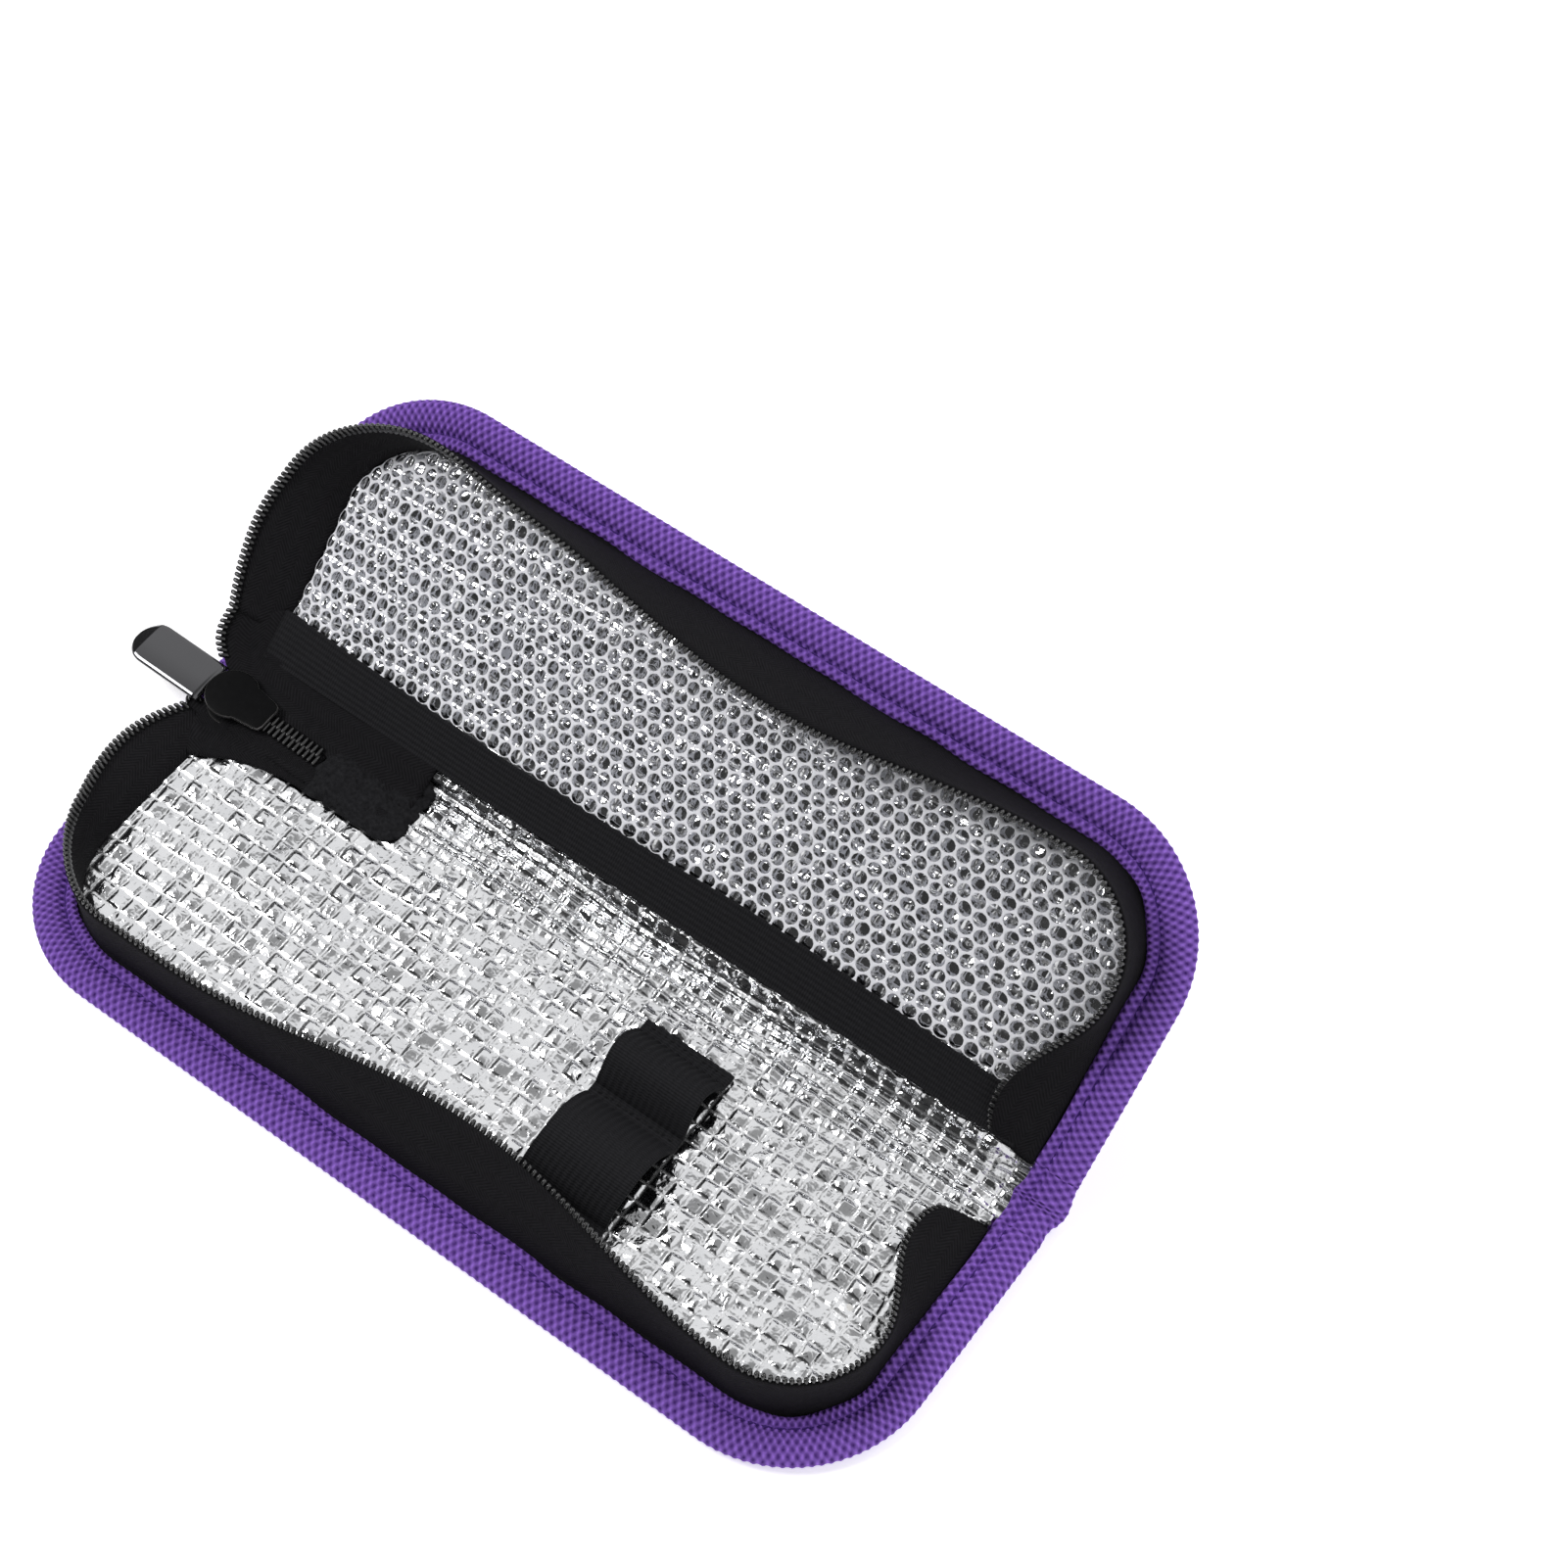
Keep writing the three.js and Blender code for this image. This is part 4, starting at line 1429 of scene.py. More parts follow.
    def over_spine(self, end: End) -> None:
        """Makes the binding where it crosses the spine, bunched up at the fold.

        Args:
            end: Which end of the case.
        """
        s = self.fold.strip(self.spine_stations)
        inset, z, run = self.woven(s)
        outer = np.clip(1 - inset / self.bulge_inset, 0, 1)
        bulge = sum(height * bump_window((s - place) / run) for height, place, run in self.bulges)
        bunch = bump_window((s - self.fold.arc / 2) / self.bunch_reach)[:, None]
        reach = self.outline.length / 2 - inset * (1 + self.bunch_spread * bunch) + bulge[:, None] * outer
        inner = np.clip(inset / self.bunch_inset, 0, 1)
        rise = z + self.bunch_rise * bunch * (z > self.height / 2) * inner
        draft = Draft()
        draft.loft(self.fold.over(end.value * reach, s[:, None], rise), cloth_rows(s[:, None], run))
        side = end.name.lower()
        piece = draft.make(f"spine_edge_binding_{side}", BINDING_TAPE)
        self.fold.wrap(piece)
        finish_piece(piece, "binding_tape", f"spine_binding_{side}")

    def stitches(self, half: Half) -> None:
        """Makes the stitch row in the binding's groove.

        Args:
            half: Which half.
        """
        start = self.fold.reach + self.stitch_start
        path = self.outline.path(start, start, self.stitch_pitch)
        level = self.height - self.groove + self.stitch_proud
        centre = station_points(path, self.groove_at, np.zeros((len(path["u"]), 1)), level)[:, 0]
        wide, long, high = self.stitch_sizes
        draft = Draft()
        for at, nx, nv in zip(centre, path["nx"], path["nv"]):
            here = self.fold.place(half, at)
            along = self.fold.place(half, at + np.array([nv, -nx, 0.0])) - here
            across = self.fold.place(half, at + np.array([nx, nv, 0.0])) - here
            up = np.cross(across, along)
            draft.stamp(STITCH_FORM, here, (across * wide, along * long, up * high))
        draft.fit(f"{half.value}_binding_stitches", BINDING_THREAD, half.value, "binding_tape")

    def build(self) -> None:
        """Makes the bindings and their stitches."""
        for half in Half:
            self.edge(half)
            self.stitches(half)
        for end in End:
            self.over_spine(end)


@dataclass
class ZipWalls:
    """Zip tapes that stand as the walls, and their coils."""

    fold: Fold
    outline: Outline = Outline()
    tooth: CoilTooth = CoilTooth()
    inset: float = 9.0
    tape: float = 0.6
    knee: float = 4.0
    foot_reach: float = 4.0
    foot_height: float = 2.5
    foot_round: float = 0.5
    bend_lean: float = 0.12
    bend_height: float = 0.4
    half_thickness: float = 18.0
    left_end: float = 11.0
    right_end: dict[Half, float] = by_half(8.0, 4.4)
    right_round: dict[Half, float] = by_half(3.0, 1.8)
    right_dip: float = 6.0
    right_low: float = 5.8
    right_sink: float = 1.5
    sink_run: float = 2.5
    front_lean: dict[Half, float] = by_half(9.0, 7.0)
    front_centre: float = 8.0
    front_span: float = 64.0
    left_flare: dict[Half, float] = by_half(9.6, 12.2)
    left_centre: dict[Half, float] = by_half(24.0, 27.0)
    left_spans: dict[Half, Pair] = by_half((32.0, 36.0), (60.0, 46.0))
    corner_fade: float = 24.0
    right_tuck: dict[Half, float] = by_half(9.0, 10.0)
    right_centre: dict[Half, float] = by_half(16.0, 13.0)
    right_span: dict[Half, float] = by_half(24.0, 26.0)
    coil_side: dict[Half, float] = by_half(-1.0, 1.0)
    coil_proud: float = 0.8
    coil_flared: float = 2.0
    flare_reach: float = 3.5
    clearance: float = 0.3
    levels: int = 14
    wall_step: float = 1.2
    tooth_step: float = 0.4
    sway: float = 0.35
    sway_length: float = 11.0

    def parting(self, v: Array) -> Array:
        """Height of the plane where the shut halves meet."""
        slope = (self.half_thickness - self.fold.z) / (self.outline.depth - self.inset)
        return self.fold.z + slope * v

    def lean(self, half: Half, x: Array, v: Array) -> Array:
        """Outward lean of the wall's free edge.

        Args:
            half: Which half.
            x: Foot's place along the case.
            v: Foot's distance from the fold.

        Returns:
            The lean; below 0 it hangs over the case.
        """
        front = -self.front_lean[half] * bump_window((x - self.front_centre) / self.front_span)
        near, far = self.left_spans[half]
        off = v - self.left_centre[half]
        left = self.left_flare[half] * bump_window(off / np.where(off < 0, near, far))
        ease = np.clip((v - self.right_end[half]) / self.right_round[half], 0, 1)
        tuck = self.right_tuck[half] * bump_window((v - self.right_centre[half]) / self.right_span[half])
        right = -tuck * np.sqrt(1 - (1 - ease) ** 2)
        corner_v = self.outline.depth - self.outline.radius
        corner_x = self.outline.length / 2 - self.outline.radius
        on_front = (v > corner_v) & (np.abs(x) <= corner_x)
        front = front + left * bump_window((x + corner_x) / self.corner_fade)
        return np.where(on_front, front, np.where(x < 0, left, right))

    def edge_height(self, half: Half, path: dict[str, Array], x: Array, v: Array, lean: Array) -> Array:
        """Height of the wall's free edge.

        Args:
            half: Which half.
            path: Stations round the edge.
            x: Foot's place along the case.
            v: Foot's distance from the fold.
            lean: Outward lean of the edge.

        Returns:
            The height: just under the parting plane, and down under the binding at the right end.
        """
        flared = np.clip(lean / self.flare_reach, 0, 1)
        proud = self.coil_proud + (self.coil_flared - self.coil_proud) * flared
        full = self.parting(v + path["nv"] * lean) - self.clearance - proud
        end = self.right_end[half]
        rise = smoothstep(end, end + self.right_dip, v)
        sink = 1 - smoothstep(end, end + self.sink_run, v)
        low_end = np.minimum(self.right_low, full) * (1 - rise) + full * rise - self.right_sink * sink
        return np.where(x > 0, low_end, full)

    def lines(self, half: Half, path: dict[str, Array]) -> Array:
        """Wall lines in section at each station: foot under the binding, then up to the edge.

        Args:
            half: Which half.
            path: Stations round the edge.

        Returns:
            Points by station and level, as outward reach and height.
        """
        x = path["x"] - path["nx"] * self.inset
        v = path["v"] - path["nv"] * self.inset
        lean = self.lean(half, x, v)
        top = self.edge_height(half, path, x, v, lean)
        heel = np.full_like(x, -self.tape / 2)
        foot = np.stack([np.full_like(x, self.foot_reach), np.full_like(x, self.foot_height)], -1)
        turn = np.stack([heel + self.foot_round, np.full_like(x, self.foot_height)], -1)
        low = np.stack([heel, np.full_like(x, self.knee)], -1)
        middle = self.knee + (top - self.knee) * self.bend_height
        bend = np.stack([heel + lean * self.bend_lean, middle], -1)
        edge = np.stack([heel + lean, top], -1)
        share = np.linspace(0, 1, self.levels)[None, :]
        t = share[..., None]
        curve = low[:, None] * (1 - t) ** 2 + bend[:, None] * 2 * t * (1 - t) + edge[:, None] * t**2
        folds = Crumple(Seed[f"{half.name}_WALL"])
        wave = folds.at(path["u"][:, None] + 0 * share, 6 * share, self.sway_length)
        curve[..., 0] += wave * self.sway * np.sin(np.pi * share)
        return np.concatenate([foot[:, None], turn[:, None], curve], 1)

    def wall(self, half: Half) -> None:
        """Makes the tape wall of one half.

        Args:
            half: Which half.
        """
        path = self.outline.path(self.left_end, self.right_end[half], self.wall_step)
        line = self.lines(half, path)
        ring = strip_ring(line, self.tape)
        points = station_points(path, self.inset, ring[..., 0], ring[..., 1])
        steps = np.linalg.norm(np.diff(line, axis=1), axis=-1)
        run = np.concatenate([np.zeros((len(line), 1)), np.cumsum(steps, 1)], 1)
        wide, long = float(run[:, -1].mean()), float(path["u"][-1]) - 2 * self.inset * math.pi / 2
        run = np.concatenate([run, run[:, ::-1]], 1)
        draft = Draft()
        draft.loft(self.fold.place(half, points), cloth_rows(path["u"][:, None], run))
        side = half.value
        piece = draft.fit(f"{side}_wall_tape", ZIP_TWILL, side, "zip_tape", f"{side}_zip_tape")
        declare_sheet(wide, long)

    def teeth(self, half: Half) -> None:
        """Makes the coil's teeth along a wall's free edge.

        Args:
            half: Which half.
        """
        path = self.outline.path(self.left_end, self.right_end[half], self.tooth_step)
        line = self.lines(half, path)
        points = station_points(path, self.inset, line[:, -2:, 0], line[:, -2:, 1])
        below, edge = np.moveaxis(self.fold.place(half, points), 1, 0)
        draft = Draft()
        self.tooth.stamp_row(draft, edge, below, self.coil_side[half])
        side = half.value
        draft.fit(f"{side}_coil_teeth", COIL_NYLON, side, "zip_coil", f"{side}_zip_coil")

    def build(self) -> None:
        """Makes both walls and their coils."""
        for half in Half:
            self.wall(half)
            self.teeth(half)


@dataclass
class Elastics:
    """Pen loops on the base, and the pocket's band and net on the lid."""

    fold: Fold
    outline: Outline = Outline()
    lining_top: float = LINING_TOP
    pen_centre: float = 27.5
    pen_width: float = 20.0
    pen_thickness: float = 1.0
    pen_lift: float = 0.3
    pen_back: float = 11.5
    pen_seam: float = 3.0
    pen_loops: tuple[Pair, ...] = ((12.5, 5.3), (19.0, 5.7))
    pen_rib: float = 1.45
    pen_rib_height: float = 0.16
    pen_rib_rows: int = 6
    pen_rows: int = 110
    pen_sway: float = 0.35
    pen_sway_length: float = 9.0
    pen_points: int = 40
    pen_round: float = 0.8
    seam_start: float = 1.0
    seam_inset: float = 0.6
    seam_stitches: int = 8
    seam_sizes: Triple = (0.25, 0.4, 0.2)
    band_rib: float = 1.15
    band_rib_height: float = 0.12
    band_rib_rows: int = 5
    band_start: float = 5.6
    band_depth: float = 10.0
    band_left: float = -91.0
    band_right: float = 87.0
    band_columns: int = 140
    band_wave: float = 60.0
    band_wave_start: float = 5.0
    band_sag: float = 0.5
    band_sag_length: float = 24.0
    band_lift: float = 0.25
    band_lift_length: float = 18.0
    band_low: float = 0.1
    band_high: float = 1.0
    net_pitch: float = 3.1
    net_hole: float = 1.61
    net_spread: float = 0.6
    net_squeeze: float = 0.0007
    net_inset: float = 9.9
    net_overlap: float = 0.8
    net_share: float = 0.42
    net_thickness: float = 0.4
    net_pull: float = 0.45
    net_pull_length: float = 14.0
    net_jitter: float = 0.3
    net_jitter_length: float = 4.5
    net_shifts: tuple[int, ...] = (300, 500, 700)
    net_low: float = -0.2
    net_lift: float = 0.95
    net_slack: float = 1.1
    net_slack_length: float = 26.0
    net_knot: float = 0.12
    net_fade: float = 5.0
    net_middle: float = 38.0
    net_half_depth: float = 26.0

    def pen_line(self) -> Array:
        """Line of the pen band over its loops, as distance from the fold and height."""
        flat = self.lining_top + self.pen_lift + self.pen_thickness / 2
        spots = [np.array([[self.pen_back, flat], [self.pen_back + self.pen_seam / 2, flat]])]
        v = self.pen_back + self.pen_seam
        for span, height in self.pen_loops:
            share = np.linspace(0, 1, self.pen_points)
            rise = np.sin(np.pi * share) ** self.pen_round
            spots.append(np.stack([v + span * share, flat + height * rise], -1))
            v += span + self.pen_seam
        spots.append(np.array([[v - self.pen_seam / 2, flat], [v, flat]]))
        return np.concatenate(spots)

    def pen_band(self) -> None:
        """Makes the ribbed pen band."""
        rough = self.pen_line()
        run = run_along(rough)
        at = np.linspace(0, run[-1], self.pen_rows)
        line = points_at(at, run, rough)
        along = np.gradient(line, axis=0)
        along /= np.linalg.norm(along, axis=1, keepdims=True)
        across = np.arange(0, self.pen_width, self.pen_rib / self.pen_rib_rows)
        ribs = self.pen_rib_height * np.cos(across * 2 * np.pi / self.pen_rib)
        x = across - self.pen_width / 2 + self.pen_centre
        sway = Crumple(Seed.PEN_BAND).at(at[:, None], 0 * x[None, :], self.pen_sway_length) * self.pen_sway

        def face(height: Array) -> Array:
            """One face of the band at a height off its middle line."""
            v = line[:, :1] - along[:, 1:] * height
            z = line[:, 1:] + along[:, :1] * height
            return self.fold.lay(Half.BASE, x + sway, v, z)

        half = self.pen_thickness / 2
        draft = Draft()
        draft.slab(face(half + ribs[None, :]), face(np.full((1, len(x)), -half)), cloth_rows(at[:, None], x))
        piece = draft.fit("pen_loop_elastic", RIBBED_ELASTIC, Half.BASE.value, "elastic", "pen_loop_band")
        declare_sheet(self.pen_width, float(run[-1]))

    def pen_seams(self) -> None:
        """Makes the rows of stitches that hold the pen band."""
        seams = [self.pen_back + self.seam_start]
        v = self.pen_back
        for span, _ in self.pen_loops:
            v += span + self.pen_seam
            seams.append(v + self.pen_seam / 2)
        reach = self.pen_width / 2 - self.seam_inset
        level = self.lining_top + self.pen_lift + self.pen_thickness
        across_size, along_size, up_size = self.seam_sizes
        up = np.array([0.0, 0.0, 1.0])
        for i, at in enumerate(seams):
            ends = [(self.pen_centre + side * reach, at, level) for side in (-1, 1)]
            first, last = self.fold.place(Half.BASE, ends)
            along = (last - first) / self.seam_stitches
            across = np.cross(up, along / np.linalg.norm(along))
            axes = (across * across_size, along * along_size, up * up_size)
            draft = Draft()
            for stitch in range(self.seam_stitches):
                draft.stamp(STITCH_FORM, first + along * (stitch + 0.5), axes)
            draft.fit(f"pen_loop_seam_{i + 1}", BLACK_THREAD, Half.BASE.value, "elastic")

    def pocket_band(self) -> None:
        """Makes the ribbed band at the pocket's mouth."""
        long = self.band_right - self.band_left
        across = np.arange(0, self.band_depth, self.band_rib / self.band_rib_rows)
        along = np.linspace(self.band_left, self.band_right, self.band_columns)
        grid_v, x = np.meshgrid(across, along, indexing="ij")
        slack = Crumple(Seed.POCKET_BAND)
        wave = np.sin((x + self.band_wave_start) / self.band_wave * np.pi)
        sag = self.band_sag * wave + slack.at(x, 0 * x, self.band_sag_length) * self.band_sag
        v = self.band_start + grid_v + sag * (grid_v / self.band_depth)
        ribs = self.band_rib_height * np.sin(grid_v * 2 * np.pi / self.band_rib)
        lift = self.lining_top + self.band_lift + self.band_lift * slack.at(x, grid_v, self.band_lift_length)
        top, under = lift + self.band_high + ribs, lift + self.band_low
        draft = Draft()
        draft.slab(
            self.fold.lay(Half.LID, x, v, top), self.fold.lay(Half.LID, x, v, under), cloth_rows(x, grid_v)
        )
        piece = draft.fit("pocket_mouth_elastic", RIBBED_ELASTIC, Half.LID.value, "elastic", "pocket_band")
        declare_sheet(self.band_depth, long)

    def net_cells(self, start: float, end: float) -> tuple[Array, list[tuple]]:
        """Lays out the net's cells flat, each a six-sided ring of yarn.

        Args:
            start: Distance of the first cells from the fold.
            end: Distance of the net's sewn edge.

        Returns:
            Rows of x and v, and the faces.
        """
        row_pitch = self.net_pitch * math.sqrt(3) / 2
        corner = self.net_pitch / math.sqrt(3)
        angles = [math.pi / 6 + math.pi / 3 * i for i in range(6)]
        numbers: dict[tuple, int] = {}
        flat: list[tuple] = []
        faces: list[tuple] = []

        def ring(x: float, v: float, radius: float) -> list[int]:
            """Numbers of a cell's points at a radius; a point that is new is added."""
            found = []
            for angle in angles:
                spot = (x + radius * math.cos(angle), v + radius * math.sin(angle))
                key = (round(spot[0], 2), round(spot[1], 2))
                if key not in numbers:
                    numbers[key] = len(flat)
                    flat.append(spot)
                found.append(numbers[key])
            return found

        rows = int((self.outline.depth - start) / row_pitch) + 1
        columns = int(self.outline.length / self.net_pitch * self.net_spread)
        for row in range(rows):
            v = start + row_pitch * row + self.net_pitch / 2
            room = self.outline.half_length(np.array(v), self.net_inset)
            for column in range(-columns, columns + 1):
                x = self.net_pitch * (column + 0.5 * (row % 2))
                if v > end or abs(x + self.net_squeeze * x * x) > room:
                    continue
                rim, inner = ring(x, v, corner), ring(x, v, self.net_hole)
                faces += [(rim[i - 1], rim[i], inner[i], inner[i - 1]) for i in range(6)]
        return np.array(flat), faces

    def net(self) -> None:
        """Makes the hexagonal net of the pocket, squeezed, pulled and slack."""
        start = self.band_start + self.band_depth - self.net_overlap
        end = self.outline.depth - self.net_inset
        flat, faces = self.net_cells(start, end)
        x, v = flat.T
        v = np.minimum(v, end)
        room = self.outline.half_length(v, self.net_inset)
        x = np.clip(x + self.net_squeeze * x**2, -room, room)
        slack = Crumple(Seed.NET)
        loose = slack.at(x, v, self.net_slack_length) * 0.5 + 0.5
        middle = bump_window((v - self.net_middle) / self.net_half_depth)
        apart, *others = self.net_shifts
        pull = self.net_pull * slack.at(x + apart, v, self.net_pull_length) * middle
        skew, drop = (
            self.net_jitter * slack.at(x + other, v, self.net_jitter_length) for other in others
        )
        edge = smoothstep(0, self.net_fade, np.minimum(room - np.abs(x), end - v))
        row_pitch = self.net_pitch * math.sqrt(3) / 2
        knots = np.sin(x * 2 * np.pi / self.net_pitch) * np.sin(v * 2 * np.pi / row_pitch)
        z = self.lining_top + self.net_low + self.net_lift * edge
        z = z + self.net_slack * loose * middle + self.net_knot * knots
        points = self.fold.lay(Half.LID, x + (pull + skew) * edge, v + (pull + drop) * edge, z)
        draft = Draft()
        draft.add(points, faces, cloth_rows(x, v))
        piece = draft.make("pocket_net", NET_YARN)
        thick = piece.modifiers.new("yarn", "SOLIDIFY")
        thick.thickness = self.net_thickness * MM
        thick.offset = 0
        soften = piece.modifiers.new("round", "SUBSURF")
        soften.levels = soften.render_levels = 1
        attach(piece, Half.LID.value)
        finish_piece(piece, "pocket_net", "mesh_pocket")
        wide = self.outline.length - 2 * self.net_inset
        declare_sheet(wide, end - start, self.net_share)

    def build(self) -> None:
        """Makes the elastics, the net and the seams."""
        self.pen_band()
        self.pocket_band()
        self.net()
        self.pen_seams()


@dataclass
class ZipEnd:
    """Slider, pull tab, closed chain, webs of tape and end patch at the left end."""

    fold: Fold
    joints: dict[str, dict]
    tooth: CoilTooth = CoilTooth()
    lining_top: float = LINING_TOP
    slider_at: Triple = (-88.0, 5.0, 7.6)
    tail_start: float = 0.8
    tail_end: float = 20.7
    tail_grid: tuple[int, int] = (24, 17)
    tail_tooth: Triple = (0.42, 1.35, 0.6)
    tail_tooth_at: Triple = (0.4, 0.9, 0.4)
    tape_width: float = 11.0
    tape_faces: Pair = (-0.3, -0.8)
    tape_droop: float = 0.9
    patch_left: float = -67.0
    patch_length: float = 22.0
    patch_base: float = 11.6
    patch_lid: float = 3.0
    patch_round: float = 4.0
    patch_edge: float = 2.0
    patch_low: float = 0.1
    patch_rise: float = 0.45
    patch_pile: float = 0.9
    patch_fuzz: tuple[Pair, ...] = ((0.3, 0.8), (0.25, 2.3))
    patch_grid: tuple[int, int] = (60, 84)
    patch_lid_edge: float = 1.5
    patch_rag: float = 0.5
    rag_shift: int = 90
    rag_length: float = 1.6
    swell: float = 1.9
    swell_reach: float = 7.0
    swell_run: Pair = (2.0, 17.0)
    web_columns: int = 90
    web_rows: int = 14
    web_half: float = 0.3
    web_width: float = 9.0
    web_sway: float = 0.25
    web_sway_span: float = 30.0
    web_sway_length: float = 9.0
    base_coil: float = 5.0
    lid_coil: float = 11.5
    lid_sag: float = 0.4
    lid_bend: tuple[Triple, ...] = ((0.0, 2.0, 7.5), (0.0, 5.4, 5.0))
    base_top: tuple[Triple, ...] = (
        (-97.6, 11.0, 6.7), (-98.0, 8.6, 6.3), (-94.0, 7.8, 6.4), (-86, 7.4, 6.9), (-78, 6.6, 6.8),
        (-66, 6.2, 6.2), (-47, 6.0, 5.2),
    )
    base_foot: tuple[Triple, ...] = (
        (-90.6, 18.5, 4.7), (-88.5, 17.6, 4.7), (-86, 16.4, 4.7), (-82, 14.3, 4.7), (-74, 12.2, 4.7),
        (-64, 11.4, 4.7), (-47, 10.6, 4.7),
    )
    lid_lead: tuple[Triple, ...] = ((-101.2, 11.0, 6.7), (-101.4, 6.2, 6.4), (-99.2, 2.2, 6.4))
    lid_top: tuple[Triple, ...] = (
        (-92.0, 2.2, 7.2), (-86, 2.8, 7.1), (-78, 3.4, 6.9), (-66, 3.8, 6.2), (-47, 3.6, 5.2),
    )
    lid_foot: tuple[Triple, ...] = (
        (-90.8, 16.0, 4.9), (-90.2, 12.0, 4.9), (-89.0, 9.0, 5.0), (-86.5, 7.2, 5.0), (-82, 6.5, 5.0),
        (-75, 6.2, 5.0), (-66, 6.2, 5.0), (-47, 6.2, 5.0),
    )
    slider_length: float = 15.0
    head_radius: float = 5.4
    head_turn: float = 50.0
    head_points: int = 41
    neck_shift: float = 0.2
    neck_bow: float = 0.25
    neck_points: int = 9
    tail_half: float = 3.5
    tail_cut: float = 0.35
    tail_run: float = 1.2
    plate_low: float = 1.2
    plate_thickness: float = 1.0
    plate_edge: float = 0.35
    edge_points: int = 4
    post_at: Triple = (-5.2, 0.0, 0.0)
    post_sizes: Triple = (1.5, 1.7, 1.2)
    bridge_at: Triple = (-7.9, 0.0, -1.9)
    bridge_sizes: Triple = (1.1, 3.0, 0.55)
    pivot: float = -9.7
    pin_drop: float = -0.9
    pin_sizes: Triple = (0.8, 2.6, 0.7)
    tab_root: float = -7.7
    tab_length: float = 17.5
    tab_half: float = 4.8
    tab_thick: float = 1.3
    tab_crown: float = 0.3
    tab_lip: float = 2.9
    tab_crease: float = 0.12
    tab_bend: float = 0.5
    tab_flat: float = 0.93
    tab_points: int = 13
    tab_rim: Triple = (0.98, 1.0, 0.98)
    tab_fall: Triple = (0.75, 0.0, -0.75)
    tip_turn: float = 0.12
    tip_rings: int = 16
    tip_least: float = 0.05
    shank_gap: float = 0.5
    shank_rings: int = 12

    def axes(self) -> tuple[Array, Array, Array]:
        """The chain's own axes in the row frame: along, across and up."""
        along = np.array(self.joints["zip_slide"]["axis"], float)
        across = np.array([0.0, 1.0, 0.0])
        return along, across, np.cross(along, across)

    def at(self, *place: Union[float, Array]) -> Array:
        """Points given along, across and up on the chain's axes, from the slider's middle.

        Args:
            place: Three distances, or arrays of them.

        Returns:
            Rows of x, y and z.
        """
        spot = self.fold.place(Half.BASE, self.slider_at)
        for distance, axis in zip(place, self.axes()):
            spot = spot + np.multiply.outer(distance, axis)
        return spot

    def web(
        self, name: str, lines: Sequence[Array], sag: float, lead_mm: float, side: float
    ) -> tuple[Piece, Piece]:
        """Makes a web of zip tape between two lines, with the coil that leads into the slider.

        Args:
            name: The web's name.
            lines: Points of its upper and of its lower edge, in the row frame.
            sag: How far its middle hangs.
            lead_mm: Length of coil from the wall to the slider.
            side: Which face the coil stands on.

        Returns:
            The web and its coil.
        """
        upper, lower = (curve_through(line, self.web_columns) for line in lines)
        share = np.linspace(0, 1, self.web_rows)[:, None]
        hill = np.sin(np.pi * share)
        grid = upper[None] + (lower - upper)[None] * share[..., None]
        grid[..., 2] += (lower - upper)[None, :, 2] * (smoothstep(0, 1, share) - share)
        grid[..., 2] -= sag * hill
        place = np.arange(self.web_columns)[None, :]
        sway = Crumple(Seed.WEB).at(place, share * self.web_sway_span, self.web_sway_length)
        grid[..., 2] += self.web_sway * sway * hill
        normal = np.cross(np.gradient(grid, axis=1), np.gradient(grid, axis=0))
        normal *= self.web_half / np.linalg.norm(normal, axis=-1, keepdims=True)
        along = np.cumsum(np.linalg.norm(np.gradient(upper, axis=0), axis=1))
        tape, coil = Draft(), Draft()
        tape.slab(grid + normal, grid - normal, cloth_rows(along[None, :], share * self.web_width))
        lead = along < lead_mm
        self.tooth.stamp_row(coil, grid[0, lead], grid[1, lead], side)
        return tape.make(name, ZIP_TWILL), coil.make(f"{name}_coil", COIL_NYLON)

    def webs(self) -> None:
        """Makes the webs of tape on both sides of the closed chain."""
        slots = ("zip_tape", "zip_coil")
        lines = [self.fold.place(Half.BASE, line) for line in (self.base_top, self.base_foot)]
        pieces = self.web("base_zip_web", lines, 0.0, self.base_coil, 1.0)
        for piece, slot in zip(pieces, slots):
            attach(piece, Half.BASE.value)
            finish_piece(piece, slot)
        lead, foot = (self.fold.place(Half.LID, line) for line in (self.lid_lead, self.lid_foot))
        lines = [np.vstack([lead, self.fold.place(Half.BASE, self.lid_top)]), foot]
        pieces = self.web("lid_zip_web", lines, self.lid_sag, self.lid_coil, -1.0)
        for piece, slot in zip(pieces, slots):
            self.fold.blend(piece, *self.lid_bend)
            finish_piece(piece, slot)

    def tail(self) -> None:
        """Makes the closed chain and its tape."""
        long = self.tail_end - self.tail_start
        rows, columns = self.tail_grid
        along = np.linspace(self.tail_start, self.tail_end, rows)
        across = np.linspace(-self.tape_width / 2, self.tape_width / 2, columns)
        grid_a, grid_c = np.meshgrid(along, across, indexing="ij")
        droop = self.tape_droop * (np.abs(grid_c) / self.tape_width * 2) ** 2
        faces = [self.at(grid_a, grid_c, level - droop) for level in self.tape_faces]
        draft = Draft()
        draft.slab(*faces, cloth_rows(grid_a, grid_c))
        piece = draft.fit("closed_zip_tape", ZIP_TWILL, Half.BASE.value, "zip_tape", "zip_tail_tape")
        declare_sheet(self.tape_width, long)
        sizes = [axis * size for axis, size in zip(self.axes(), self.tail_tooth)]
        first, off, up = self.tail_tooth_at
        draft = Draft()
        for i in range(int(long / TOOTH_PITCH * 2)):
            side = 1 if i % 2 else -1
            run = self.tail_start + first + i * TOOTH_PITCH / 2
            draft.stamp(TOOTH_FORM, self.at(run, side * off, up), sizes)
        draft.fit("closed_zip_coil", COIL_NYLON, Half.BASE.value, "zip_coil", "zip_tail_coil")

